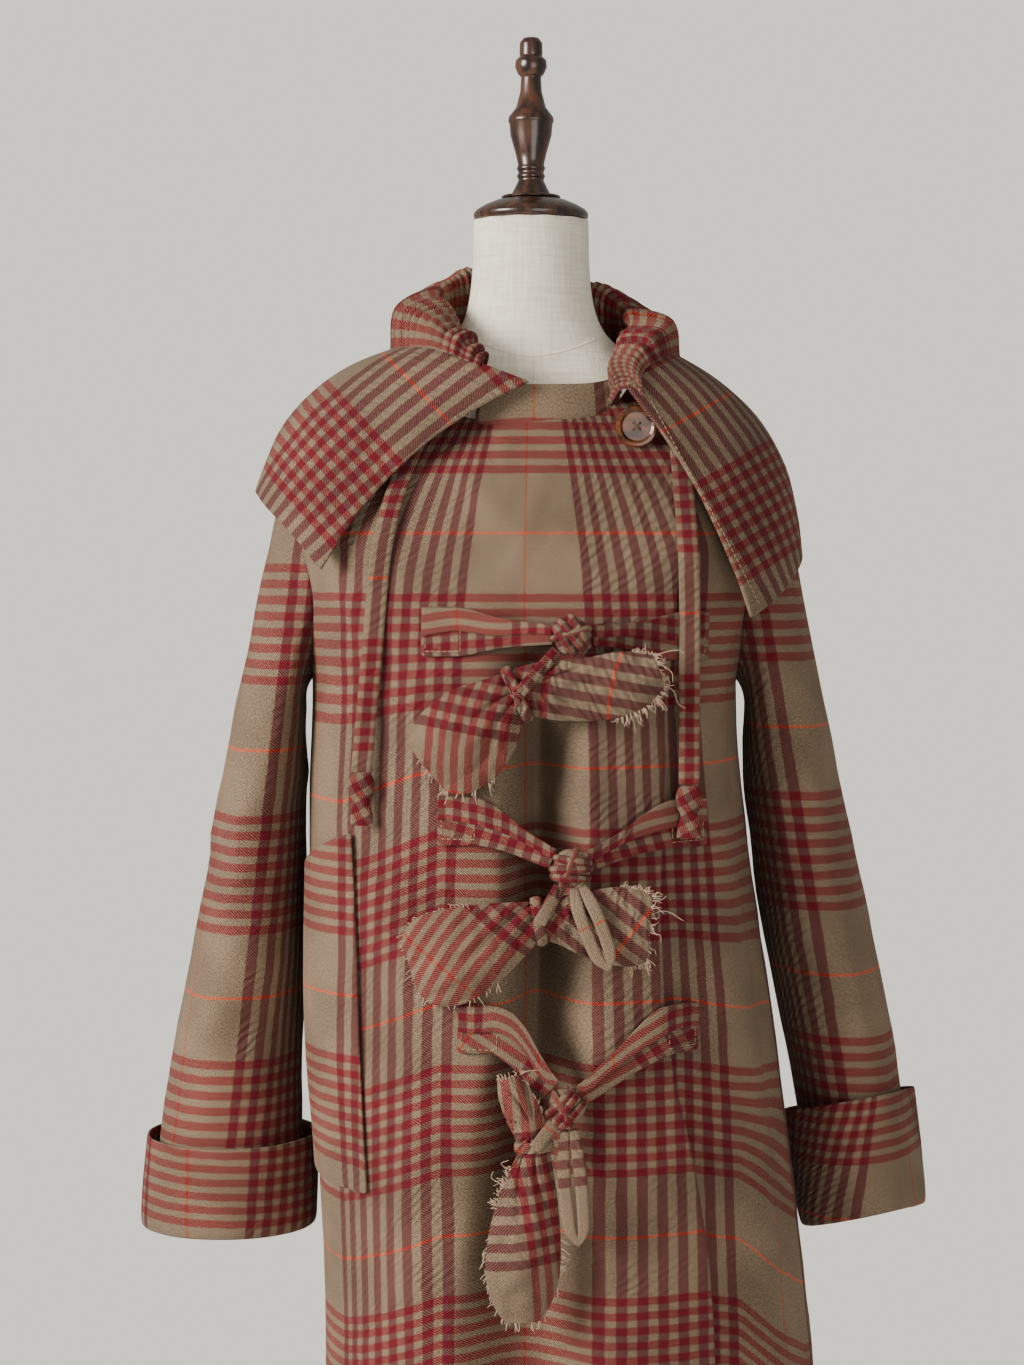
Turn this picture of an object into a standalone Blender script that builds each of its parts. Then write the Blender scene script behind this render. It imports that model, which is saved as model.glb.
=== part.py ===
"""Cocoon coat of brushed plaid wool, buttoned and tied on a limbless dress form.

Metres, +Z up. The front faces -Y, and the origin is the centre of the stand's foot, on the floor.
Left and right are the wearer's: the wearer's right side lies at -X.
"""
import math
from collections import namedtuple

import bmesh
import bpy
import numpy as np
from mathutils import Vector
from mathutils.bvhtree import BVHTree

# ---------------------------------------------------------------- driving sizes
CLOTH = 0.0022          # one layer of brushed wool
DOUBLE = 0.0032         # two layers stitched together: collar, cuffs, band
SEAM = 0.0003           # gap between two pieces that meet at a seam
LIE = 0.0007            # gap under a piece that lies on another
SEAT_GAP = 0.0008       # gap left when a piece is seated on another
SECTION_POWER = 0.9     # a little squarer than an ellipse
DEGREE = math.pi / 180.0

# Level rings of the coat's body, from the neckline to the hem.
Ring = namedtuple("Ring", "name front_z side_z back_z rise right left front back")
BODY = (
    Ring("neckline", 1.316, 1.383, 1.402, 5.0, 0.098, 0.098, 0.092, 0.078),
    Ring("yoke", 1.280, 1.361, 1.374, 4.0, 0.140, 0.140, 0.113, 0.100),
    Ring("shoulder", 1.232, 1.334, 1.330, 3.0, 0.186, 0.186, 0.134, 0.118),
    Ring("drop", 1.182, 1.277, 1.262, 2.4, 0.222, 0.222, 0.151, 0.130),
    Ring("armhole", 1.135, 1.180, 1.180, 2.0, 0.212, 0.210, 0.161, 0.133),
    Ring("underarm", 1.085, 1.085, 1.085, 2.0, 0.198, 0.186, 0.166, 0.134),
    Ring("waist", 0.985, 0.985, 0.985, 2.0, 0.2010, 0.191, 0.171, 0.136),
    Ring("hip", 0.880, 0.880, 0.880, 2.0, 0.2010, 0.205, 0.178, 0.141),
    Ring("pocket", 0.780, 0.780, 0.780, 2.0, 0.2010, 0.221, 0.184, 0.146),
    Ring("thigh", 0.670, 0.670, 0.670, 2.0, 0.1950, 0.235, 0.187, 0.149),
    Ring("knee", 0.540, 0.540, 0.540, 2.0, 0.186, 0.251, 0.187, 0.150),
    Ring("calf", 0.410, 0.410, 0.410, 2.0, 0.189, 0.262, 0.184, 0.149),
    Ring("hem", 0.270, 0.270, 0.270, 2.0, 0.182, 0.243, 0.177, 0.145),
)
NECKLINE, DROP, UNDERARM, HEM = 0.0, 3.0, 5.0, float(len(BODY) - 1)
LEVELS = (0.0, 0.7, 1.4, 2.0, 2.5, 3.0, 3.25, 3.65, 4.1, 4.5, 4.8, 5.0,
          5.5, 6.0, 6.6, 7.2, 7.8, 8.5, 9.3, 10.1, 10.8, 11.4, 12.0)
ARMHOLE_CUT = 27.0      # how far the armhole eats into a panel, in degrees
ARMHOLE_GAP = 0.0010
ARMHOLE_REACH = 0.42    # the part of a panel's width that its armhole draws in

# How the wrapped right front drapes: a ridge, the deep fold that the ties pull in, a ridge, an edge.
Drape = namedtuple("Drape", "z ridge_x ridge fold_x fold lap_x lap edge_x edge hidden_x")
WRAP = (
    Drape(1.316, -0.050, 0.002, 0.000, 0.0030, 0.040, 0.0052, 0.084, 0.0076, 0.050),
    Drape(1.285, -0.050, 0.002, 0.000, 0.0030, 0.045, 0.004, 0.112, 0.0050, 0.062),
    Drape(1.160, -0.045, 0.004, 0.005, 0.0020, 0.050, 0.006, 0.126, 0.0050, 0.060),
    Drape(1.110, -0.040, 0.006, 0.003, -0.002, 0.036, 0.007, 0.117, 0.0055, 0.058),
    Drape(1.060, -0.034, 0.008, 0.000, -0.020, 0.030, 0.009, 0.113, 0.0060, 0.058),
    Drape(0.985, -0.030, 0.011, 0.004, -0.034, 0.042, 0.010, 0.110, 0.0065, 0.064),
    Drape(0.880, -0.026, 0.012, 0.008, -0.038, 0.050, 0.010, 0.106, 0.0070, 0.072),
    Drape(0.780, -0.036, 0.012, 0.004, -0.040, 0.056, 0.010, 0.112, 0.0070, 0.078),
    Drape(0.670, -0.068, 0.012, -0.006, -0.046, 0.062, 0.010, 0.140, 0.0075, 0.084),
    Drape(0.540, -0.076, 0.012, -0.010, -0.048, 0.066, 0.010, 0.154, 0.0080, 0.088),
    Drape(0.270, -0.072, 0.010, -0.008, -0.040, 0.064, 0.008, 0.152, 0.0080, 0.088),
)

# Soft vertical folds elsewhere: the angle round the body at the fold's top and bottom.
Fold = namedtuple("Fold", "top_angle low_angle top_level low_level half_angle out")
RIGHT_FOLDS = (
    Fold(-48.0, -50.0, 3.6, 7.4, 15.0, 0.006),
)
LEFT_FOLDS = (
    Fold(52.0, 50.0, 4.6, 9.6, 12.0, 0.006),
    Fold(70.0, 72.0, 5.4, 12.6, 12.0, -0.007),
)
BACK_FOLDS = (
    Fold(132.0, 124.0, 3.4, 13.0, 17.0, 0.009),
    Fold(157.0, 152.0, 4.6, 14.0, 15.0, -0.008),
    Fold(181.0, 180.0, 3.6, 14.0, 16.0, 0.009),
    Fold(205.0, 208.0, 4.8, 14.0, 15.0, -0.008),
    Fold(229.0, 236.0, 3.4, 13.0, 17.0, 0.009),
)

# Sleeve sections below the armhole. x is the distance from the middle plane, tilt_x and tilt_y
# lift the outer and the back side of the ring.
Cut = namedtuple("Cut", "z x y half_x half_y tilt_x tilt_y")
RIGHT_SLEEVE = (
    Cut(0.985, 0.24475, 0.014, 0.04025, 0.088, 0.00, 0.00),
    Cut(0.840, 0.25750, 0.022, 0.05250, 0.082, 0.00, 0.00),
    Cut(0.700, 0.27475, 0.028, 0.06425, 0.073, 0.00, 0.00),
    Cut(0.590, 0.27875, 0.030, 0.07125, 0.068, 0.00, 0.00),
)
LEFT_SLEEVE = (
    Cut(0.985, 0.2395, 0.018, 0.0450, 0.088, 0.00, 0.00),
    Cut(0.840, 0.2660, 0.030, 0.0510, 0.085, 0.06, -0.05),
    Cut(0.720, 0.2925, 0.040, 0.0480, 0.083, 0.16, -0.14),
    Cut(0.594, 0.3085, 0.046, 0.0485, 0.080, 0.24, -0.22),
)
SLEEVE_FOLDS = (
    Fold(75.0, 60.0, 0.30, 1.05, 22.0, 0.006),
    Fold(150.0, 150.0, 0.25, 1.05, 24.0, -0.007),
    Fold(285.0, 300.0, 0.20, 1.05, 24.0, 0.006),
    Fold(215.0, 220.0, 0.30, 1.05, 20.0, 0.005),
)
SLEEVE_COLUMNS = 20
SLEEVE_CAP_ROWS = 6     # between the armhole and the first level section
SLEEVE_LOW_ROWS = 6

# The turned-up cuff's closed outline: how far outside the sleeve, how high above the fold,
# and the part of the cuff's own height that is added.
CUFF_OUTLINE = (
    (0.0000, 0.0095, 0.0), (-0.0024, 0.0095, 0.0), (-0.0020, -0.0010, 0.0), (0.0025, -0.0068, 0.0),
    (0.0085, -0.0065, 0.0), (0.0122, -0.0010, 0.0), (0.0140, 0.0, 1.0), (0.0110, 0.0, 1.0),
    (0.0088, 0.0010, 0.0), (0.0040, -0.0032, 0.0),
)
RIGHT_CUFF_HEIGHT = 0.079
LEFT_CUFF_HEIGHT = 0.104
SLEEVE_END = 0.0105     # the sleeve's own end above the cuff's fold

# Collar stations from its right front end round the back to its left front end.
Station = namedtuple("Station", "neck_angle crest crease hem roll belly")
COLLAR = (
    Station(-28, (0.000, -0.100, 1.350), (0.000, -0.104, 1.351), (-0.182, -0.132, 1.187), 0.002, 0.022),
    Station(-34, (-0.038, -0.088, 1.372), (-0.044, -0.098, 1.368), (-0.203, -0.114, 1.212), 0.004, 0.028),
    Station(-58, (-0.064, -0.060, 1.403), (-0.084, -0.078, 1.384), (-0.229, -0.085, 1.237), 0.011, 0.028),
    Station(-90, (-0.085, -0.012, 1.430), (-0.116, -0.026, 1.386), (-0.248, -0.030, 1.257), 0.016, 0.028),
    Station(-122, (-0.082, 0.036, 1.446), (-0.120, 0.040, 1.388), (-0.236, 0.062, 1.243), 0.016, 0.028),
    Station(-152, (-0.052, 0.072, 1.462), (-0.078, 0.104, 1.394), (-0.152, 0.146, 1.205), 0.014, 0.026),
    Station(-180, (0.000, 0.088, 1.466), (0.000, 0.124, 1.394), (0.000, 0.170, 1.182), 0.015, 0.024),
    Station(-208, (0.052, 0.072, 1.452), (0.080, 0.104, 1.389), (0.154, 0.146, 1.190), 0.014, 0.026),
    Station(-238, (0.084, 0.036, 1.428), (0.124, 0.040, 1.382), (0.234, 0.062, 1.205), 0.014, 0.033),
    Station(-270, (0.092, -0.012, 1.410), (0.126, -0.026, 1.381), (0.2435, -0.020, 1.203), 0.015, 0.034),
    Station(-298, (0.082, -0.054, 1.390), (0.108, -0.070, 1.374), (0.236, -0.070, 1.186), 0.010, 0.032),
    Station(-312, (0.072, -0.076, 1.368), (0.090, -0.094, 1.362), (0.214, -0.113, 1.163), 0.004, 0.022),
    Station(-319, (0.072, -0.090, 1.350), (0.082, -0.111, 1.347), (0.189, -0.142, 1.146), 0.002, 0.012),
)
GATHERS = 36            # round the drawn-up neck edge
GATHER_HEIGHT = 0.0022
STAND_FROM, STAND_TO = 1.0, 11.3
FALL_COLUMNS = 34
FALL_ROWS = 7
CREASE_GAP = 0.0016

BAND_HEIGHT = 0.031
BAND_FROM, BAND_TO = -27.0, 38.0

# The side pocket: the patch's outline on the right front, as angles round the body and levels.
POCKET_COLUMNS, POCKET_ROWS = 8, 9
POCKET_INNER_TOP, POCKET_INNER_LOW, POCKET_OUTER = -45.0, -42.0, -83.0
POCKET_TOP_INNER, POCKET_TOP_OUTER, POCKET_LOW = 6.24, 6.62, 9.16
POCKET_BULGE = 0.007
POCKET_MOUTH = 0.005    # how far its slanted mouth stands open

# Drawn-up neck cord: two flat straps that hang free, each with a knot and a frayed end.
STRAP_WIDTH = 0.018
STRAP_THICK = 0.0035
RIGHT_STRAP = ((-0.1015, 1.296), (-0.112, 1.270), (-0.1215, 1.240), (-0.1290, 1.205), (-0.1335, 1.160),
               (-0.1370, 1.115), (-0.1410, 1.070), (-0.1460, 1.014))
LEFT_STRAP = ((0.1290, 1.292), (0.1305, 1.268), (0.1325, 1.235), (0.1345, 1.195), (0.1350, 1.150),
              (0.1345, 1.105), (0.1345, 1.060), (0.1340, 1.004))

# A strap's end knot and frayed tip: height from the strap's end, half width, half depth.
STRAP_KNOT = ((0.0, 0.008, 0.003), (-0.005, 0.0115, 0.007), (-0.013, 0.0125, 0.0085), (-0.020, 0.0105, 0.007),
              (-0.0245, 0.0065, 0.0035), (-0.034, 0.0095, 0.0028), (-0.045, 0.0105, 0.0022))

# The three ties: stitched tabs, the knot between them and how far it stands off the cloth.
Tie = namedtuple("Tie", "name right_x right_z right_tab left_x left_z left_tab knot_x knot_z knot_y")
TIES = (
    Tie("top", -0.0940, 1.1345, 0.036, 0.1525, 1.1300, 0.029, 0.0332, 1.1325, -0.1880),
    Tie("middle", -0.0800, 0.9750, 0.034, 0.1510, 0.9700, 0.034, 0.0326, 0.9365, -0.1980),
    Tie("bottom", -0.0630, 0.8000, 0.036, 0.1430, 0.7960, 0.029, 0.0277, 0.7350, -0.2060),
)
TAB_HEIGHT = 0.043
TIE_WIDTH = 0.020
TIE_THICK = 0.0030
TIE_END = 0.0085        # a tie's half width where it enters its knot
KNOT_HALF = (0.0165, 0.0105, 0.0165)

# Rag toggles: sections along each gathered cloth roll, measured from its tie's knot.
Section = namedtuple("Section", "x y z half_width half_depth")
RAGS = {
    "top": (
        Section(-0.122, 0.006, -0.114, 0.022, 0.003), Section(-0.112, 0.002, -0.106, 0.036, 0.008),
        Section(-0.092, -0.004, -0.090, 0.039, 0.013), Section(-0.073, -0.004, -0.071, 0.034, 0.014),
        Section(-0.061, -0.002, -0.060, 0.026, 0.011), Section(-0.0520, -0.001, -0.0525, 0.0195, 0.0085),
        Section(-0.0400, 0.000, -0.0470, 0.0195, 0.0085), Section(-0.028, 0.000, -0.046, 0.0215, 0.0085),
        Section(-0.010, 0.000, -0.0468, 0.0240, 0.009), Section(0.018, -0.002, -0.0460, 0.0245, 0.009),
        Section(0.048, -0.003, -0.040, 0.027, 0.007),
        Section(0.074, 0.002, -0.031, 0.014, 0.004),
    ),
    "middle": (
        Section(-0.136, 0.010, -0.086, 0.022, 0.003), Section(-0.124, 0.004, -0.082, 0.037, 0.008),
        Section(-0.100, -0.008, -0.074, 0.039, 0.013), Section(-0.072, -0.0085, -0.062, 0.032, 0.014),
        Section(-0.049, -0.005, -0.051, 0.023, 0.011), Section(-0.0330, -0.001, -0.0455, 0.0165, 0.0085),
        Section(-0.0210, 0.000, -0.0435, 0.0165, 0.0085), Section(-0.008, 0.000, -0.0435, 0.0190, 0.0085),
        Section(0.012, 0.000, -0.0465, 0.0255, 0.009),
        Section(0.034, -0.001, -0.048, 0.031, 0.010), Section(0.054, -0.003, -0.050, 0.031, 0.011),
        Section(0.066, -0.004, -0.051, 0.026, 0.007),
    ),
    "bottom": (
        Section(-0.047, -0.011, 0.028, 0.010, 0.003), Section(-0.042, -0.011, 0.012, 0.014, 0.006),
        Section(-0.032, -0.005, -0.012, 0.014, 0.007), Section(-0.0266, 0.000, -0.0262, 0.0125, 0.0075),
        Section(-0.0258, 0.000, -0.0382, 0.0125, 0.0075), Section(-0.028, -0.002, -0.054, 0.017, 0.009),
        Section(-0.031, -0.004, -0.075, 0.023, 0.012),
        Section(-0.034, -0.005, -0.105, 0.028, 0.014), Section(-0.036, -0.004, -0.135, 0.030, 0.014),
        Section(-0.037, -0.002, -0.162, 0.026, 0.011), Section(-0.036, 0.000, -0.182, 0.014, 0.004),
    ),
}
RAG_SIDES = 14

# The end of each tie: a tail to the ring that it makes round the rag, and a free loop. From the knot.
Hang = namedtuple("Hang", "ring_at ring_along ring_wide ring_deep tail_rise loop")
HANGS = {
    "top": Hang((-0.0460, -0.0005, -0.0498), (-0.909, 0.0, -0.417), 0.0247, 0.0128, 0.001, None),
    "middle": Hang((-0.0270, -0.0005, -0.0445), (-0.986, 0.0, -0.164), 0.0207, 0.0119, 0.001,
                   ((0.006, -0.003, -0.0168), (0.011, -0.0170, -0.030), (0.019, -0.0200, -0.050),
                    (0.028, -0.0195, -0.074))),
    "bottom": Hang((-0.0262, 0.000, -0.0322), (0.067, 0.0, -0.998), 0.0162, 0.0105, 0.0052,
                   ((0.003, -0.002, -0.0170), (0.006, -0.011, -0.060), (0.010, -0.012, -0.104))),
}
TAIL_HALF = 0.0055
RING_HALF = 0.0050      # half the length of a ring along its rag
RING_THICK = 0.0022     # from a ring's middle to what lies over it
LOOP_WIDTH = 0.0115     # one strand of a free loop
LOOP_SLIT = 0.0020      # between its two strands

BUTTON_RADIUS = 0.0185
BUTTON_X, BUTTON_Z = 0.0915, 1.3115

# The dress form: level sections of its padded torso and neck.
Level = namedtuple("Level", "z half front back")
FORM = (
    Level(0.730, 0.150, 0.100, 0.108), Level(0.736, 0.158, 0.104, 0.114), Level(0.800, 0.164, 0.108, 0.120),
    Level(0.880, 0.152, 0.104, 0.110), Level(0.960, 0.122, 0.088, 0.082), Level(1.030, 0.126, 0.098, 0.084),
    Level(1.110, 0.146, 0.122, 0.094), Level(1.180, 0.160, 0.121, 0.102), Level(1.240, 0.174, 0.108, 0.104),
    Level(1.285, 0.1845, 0.092, 0.098), Level(1.310, 0.1850, 0.079, 0.090), Level(1.3300, 0.1785, 0.068, 0.080),
    Level(1.3465, 0.1540, 0.056, 0.070), Level(1.3580, 0.1320, 0.0505, 0.064), Level(1.3720, 0.1025, 0.0505, 0.060),
    Level(1.3880, 0.076, 0.0515, 0.058), Level(1.4050, 0.062, 0.0520, 0.056), Level(1.4300, 0.055, 0.0520, 0.053),
    Level(1.4650, 0.0525, 0.0525, 0.0525), Level(1.4997, 0.0525, 0.0525, 0.0525),
)
FORM_COLUMNS = 24
# Turned outlines: radius and height, from the axis at the top, down the outer side.
CAP_OUTLINE = (
    (0.0, 1.5195), (0.0270, 1.5190), (0.0320, 1.5178), (0.0415, 1.5138), (0.0490, 1.5095), (0.0518, 1.5060),
    (0.0515, 1.5025), (0.0495, 1.5000), (0.0, 1.5000),
)
FINIAL_OUTLINE = (
    (0.0, 1.6640), (0.0070, 1.6628), (0.0102, 1.6585), (0.0104, 1.6490), (0.0100, 1.6465), (0.0138, 1.6430),
    (0.0144, 1.6370), (0.0118, 1.6310), (0.0090, 1.6280), (0.0098, 1.6150), (0.0135, 1.6010),
    (0.0200, 1.5925), (0.0207, 1.5890), (0.0194, 1.5862), (0.0186, 1.5760), (0.0140, 1.5600), (0.0117, 1.5500),
    (0.0130, 1.5465), (0.0112, 1.5430), (0.0130, 1.5395), (0.0112, 1.5365), (0.0150, 1.5285),
    (0.0180, 1.5230), (0.0262, 1.5222), (0.0268, 1.5200), (0.0, 1.5198),
)
PLATE_OUTLINE = ((0.0, 0.7297), (0.094, 0.7297), (0.098, 0.7230), (0.092, 0.7170), (0.0, 0.7170))
POLE_OUTLINE = (
    (0.0, 0.7167), (0.0300, 0.7167), (0.0300, 0.7080), (0.0180, 0.6980), (0.0160, 0.4400), (0.0215, 0.4300),
    (0.0215, 0.4150), (0.0170, 0.4050), (0.0185, 0.0850), (0.0300, 0.0500), (0.0340, 0.0403), (0.0, 0.0403),
)
BASE_OUTLINE = (
    (0.0, 0.0400), (0.0500, 0.0400), (0.0600, 0.0340), (0.1450, 0.0260), (0.1680, 0.0180), (0.1750, 0.0060),
    (0.1720, 0.0000), (0.0, 0.0000),
)

# ---------------------------------------------------------------- colours
PLAID = ("plaid wool", (0.260, 0.085, 0.068), 0.92)
LINEN = ("form linen", (0.700, 0.665, 0.585), 0.90)
WOOD = ("walnut", (0.060, 0.028, 0.016), 0.35)
HORN = ("horn button", (0.120, 0.045, 0.018), 0.28)


# ---------------------------------------------------------------- numbers
def smooth(keys, values, at):
    """Cubic curve through values at ascending keys, with slopes taken from the neighbours."""
    keys = np.asarray(keys, float)
    values = np.asarray(values, float)
    at = np.asarray(at, float)
    slopes = np.gradient(values, keys, axis=0)
    place = np.clip(np.searchsorted(keys, at) - 1, 0, len(keys) - 2)
    span = keys[place + 1] - keys[place]
    t = np.clip((at - keys[place]) / span, 0.0, 1.0)
    if values.ndim > 1:
        t = t[..., None]
        span = span[..., None]
    low, high = values[place], values[place + 1]
    low_slope, high_slope = slopes[place] * span, slopes[place + 1] * span
    return ((2 * t**3 - 3 * t**2 + 1) * low + (t**3 - 2 * t**2 + t) * low_slope
            + (3 * t**2 - 2 * t**3) * high + (t**3 - t**2) * high_slope)


def column(table, name, at, key=None):
    """A column of a table at any place: its key column, or else the row number."""
    keys = np.arange(len(table)) if key is None else [getattr(row, key) for row in table]
    values = [getattr(row, name) for row in table]
    if keys[0] > keys[-1]:
        keys, values = list(keys)[::-1], values[::-1]
    return smooth(keys, values, at)


def ease(t):
    """0 to 1 with level ends."""
    return 0.5 - 0.5 * np.cos(math.pi * np.clip(t, 0.0, 1.0))


def unit(vectors):
    """Vectors scaled to length 1."""
    return vectors / np.maximum(np.linalg.norm(vectors, axis=-1, keepdims=True), 1e-12)


# ---------------------------------------------------------------- scene helpers
def clear_scene():
    """Remove every object of the start-up scene."""
    for old in list(bpy.data.objects):
        bpy.data.objects.remove(old, do_unlink=True)


def material(spec):
    """The Principled material of a (name, colour, roughness) row."""
    name, colour, roughness = spec
    made = bpy.data.materials.get(name)
    if made is None:
        made = bpy.data.materials.new(name)
        made.use_nodes = True
        shader = made.node_tree.nodes["Principled BSDF"]
        shader.inputs["Base Color"].default_value = (*colour, 1.0)
        shader.inputs["Roughness"].default_value = roughness
        shader.inputs["Metallic"].default_value = 0.0
        made.diffuse_color = (*colour, 1.0)
    return made


def add(name, mesh, spec):
    """Link a mesh as a named object of the coat's collection."""
    piece = bpy.data.objects.new(name, mesh)
    mesh.materials.append(material(spec))
    bpy.data.collections["cocoon_coat"].objects.link(piece)
    return piece


def closed_mesh(name, points, faces):
    """A mesh from points and faces whose faces are turned to point outwards."""
    mesh = bpy.data.meshes.new(name)
    mesh.from_pydata([tuple(map(float, p)) for p in points], [], faces)
    work = bmesh.new()
    work.from_mesh(mesh)
    bmesh.ops.recalc_face_normals(work, faces=work.faces)
    if work.calc_volume(signed=True) < 0:
        bmesh.ops.reverse_faces(work, faces=work.faces)
    work.to_mesh(mesh)
    work.free()
    mesh.shade_smooth()
    return mesh


def strip_faces(rows, columns, first, wrap, flip):
    """Quads between the rows of a point grid that starts at index first."""
    faces = []
    for r in range(rows - 1):
        for c in range(columns if wrap else columns - 1):
            quad = [first + r * columns + c, first + r * columns + (c + 1) % columns,
                    first + (r + 1) * columns + (c + 1) % columns, first + (r + 1) * columns + c]
            faces.append(quad[::-1] if flip else quad)
    return faces


def wall(name, outer, inward, spec, wrap=False):
    """A cloth wall between a grid of outer points and the same grid moved by inward."""
    rows, columns = outer.shape[:2]
    count = rows * columns
    points = np.concatenate([outer.reshape(-1, 3), (outer + inward).reshape(-1, 3)])
    faces = strip_faces(rows, columns, 0, wrap, False) + strip_faces(rows, columns, count, wrap, True)
    for c in range(columns if wrap else columns - 1):
        after = (c + 1) % columns
        faces.append([c, count + c, count + after, after])
        low = (rows - 1) * columns
        faces.append([low + after, count + low + after, count + low + c, low + c])
    if not wrap:
        for r in range(rows - 1):
            a, b = r * columns, (r + 1) * columns
            faces.append([b, count + b, count + a, a])
            a, b = a + columns - 1, b + columns - 1
            faces.append([a, count + a, count + b, b])
    return add(name, closed_mesh(name, points, faces), spec)


def loft(name, sections, spec):
    """A closed solid through rings of equal point count, with a flat cap at each end."""
    rings, sides = sections.shape[:2]
    faces = strip_faces(rings, sides, 0, True, False)
    faces.append(list(range(sides)))
    faces.append(list(range((rings - 1) * sides, rings * sides))[::-1])
    return add(name, closed_mesh(name, sections.reshape(-1, 3), faces), spec)


def swept_ring(name, sections, spec):
    """A closed ring through outlines of equal point count, the last joined to the first."""
    rings, sides = sections.shape[:2]
    faces = []
    for r in range(rings):
        for s in range(sides):
            after, side = (r + 1) % rings, (s + 1) % sides
            faces.append([r * sides + s, r * sides + side, after * sides + side, after * sides + s])
    return add(name, closed_mesh(name, sections.reshape(-1, 3), faces), spec)


def turned(name, outline, steps, spec):
    """A turned piece: an outline of radius and height, screwed round the upright axis."""
    mesh = bpy.data.meshes.new(name)
    mesh.from_pydata([(radius, 0.0, height) for radius, height in outline], [],
                     [(i, i + 1) for i in range(len(outline) - 1)])
    piece = add(name, mesh, spec)
    screw = piece.modifiers.new("Turn", "SCREW")
    screw.steps = screw.render_steps = steps
    screw.use_normal_flip = True
    screw.use_merge_vertices = True
    screw.merge_threshold = 0.00001
    return piece


def surface_normals(surface, u, v):
    """Outward unit normals of surface(u, v), from central differences."""
    step = 1e-3
    along = surface(u + step, v) - surface(u - step, v)
    down = surface(u, v + step) - surface(u, v - step)
    return unit(np.cross(down, along))


def outermost(pieces):
    """A function that gives the lowest y of the pieces at x, z, seen from the front."""
    trees = [BVHTree.FromPolygons([v.co for v in p.data.vertices], [tuple(f.vertices) for f in p.data.polygons])
             for p in pieces]

    def front_y(x, z):
        found = [tree.ray_cast(Vector((x, -1.0, z)), Vector((0.0, 1.0, 0.0)))[0] for tree in trees]
        return min([hit.y for hit in found if hit is not None], default=0.0)

    return front_y


def seat(pieces, carriers, gap=SEAT_GAP):
    """Move pieces together along Y until the nearest lies a small gap off what carries them."""
    ways = [(pieces, carriers, 1.0), (carriers, pieces, -1.0)]
    room = 1.0
    for starts, targets, way in ways:
        trees = [BVHTree.FromPolygons([v.co for v in t.data.vertices], [tuple(f.vertices) for f in t.data.polygons])
                 for t in targets]
        for start in starts:
            for vertex in start.data.vertices:
                found = [tree.ray_cast(vertex.co, Vector((0.0, way, 0.0)), 0.1)[3] for tree in trees]
                room = min([room] + [distance for distance in found if distance is not None])
    for piece in pieces:
        for vertex in piece.data.vertices:
            vertex.co.y += room - gap


def reach(piece, centre, way, half_width):
    """How far a piece goes from a centre along a unit way, within a band's half width."""
    offsets = np.array([vertex.co for vertex in piece.data.vertices]) - centre
    along = offsets @ way
    aside = np.linalg.norm((offsets - along[:, None] * way) * np.array([1.0, 0.0, 1.0]), axis=1)
    return along[aside <= half_width].max()


# ---------------------------------------------------------------- the coat's body
def body_base(theta, level):
    """Point of the undraped body. theta is in radians, 0 at the front, and grows towards +X."""
    theta, level = np.broadcast_arrays(np.asarray(theta, float), np.asarray(level, float))
    side, ahead = np.sin(theta), np.cos(theta)
    half = np.where(side < 0, column(BODY, "right", level), column(BODY, "left", level))
    deep = np.where(ahead > 0, column(BODY, "front", level), column(BODY, "back", level))
    end_z = np.where(ahead > 0, column(BODY, "front_z", level), column(BODY, "back_z", level))
    side_z = column(BODY, "side_z", level)
    near_side = np.abs(side) ** column(BODY, "rise", level)
    x = half * np.sign(side) * np.abs(side) ** SECTION_POWER
    y = -deep * np.sign(ahead) * np.abs(ahead) ** SECTION_POWER
    return np.stack([x, y, end_z + (side_z - end_z) * near_side], axis=-1)


def body_normal(theta, level):
    """Outward normal of the undraped body."""
    return surface_normals(body_base, np.asarray(theta, float), np.asarray(level, float))


def angle_at(x, level):
    """The angle of the front at distance x from the middle plane."""
    half = np.where(np.asarray(x) < 0, column(BODY, "right", level), column(BODY, "left", level))
    return np.sign(x) * np.arcsin(np.clip(np.abs(x) / half, 0, 1) ** (1 / SECTION_POWER))


def armhole_cut(through):
    """How far the armhole eats into a panel, in radians, from its top at 0 to its foot at 1."""
    return ARMHOLE_CUT * DEGREE * np.sin(math.pi * np.clip(through, 0.0, 1.0)) ** 0.8


def draw_in(theta_from_side, level, width):
    """Angle from the side line of a panel's point, drawn in by the armhole near that side."""
    cut = armhole_cut((np.asarray(level, float) - DROP) / (UNDERARM - DROP))
    near = np.clip(1.0 - theta_from_side / (ARMHOLE_REACH * width), 0.0, 1.0)
    return theta_from_side + cut * near


def fold_height(folds, theta, level):
    """Sum of soft folds at an angle in radians and a body level."""
    total = np.zeros(np.broadcast(theta, level).shape)
    for fold in folds:
        down = (level - fold.top_level) / (fold.low_level - fold.top_level)
        middle = fold.top_angle + (fold.low_angle - fold.top_angle) * np.clip(down, 0, 1)
        across = (theta / DEGREE - middle) / fold.half_angle
        reach = ease(3.0 * down) * ease(3.0 * (1.0 - down))
        total = total + fold.out * reach * (0.5 + 0.5 * np.cos(math.pi * np.clip(across, -1, 1)))
    return total


def front_z(level):
    """Height of a level at the middle of the front."""
    return column(BODY, "front_z", level)


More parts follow.
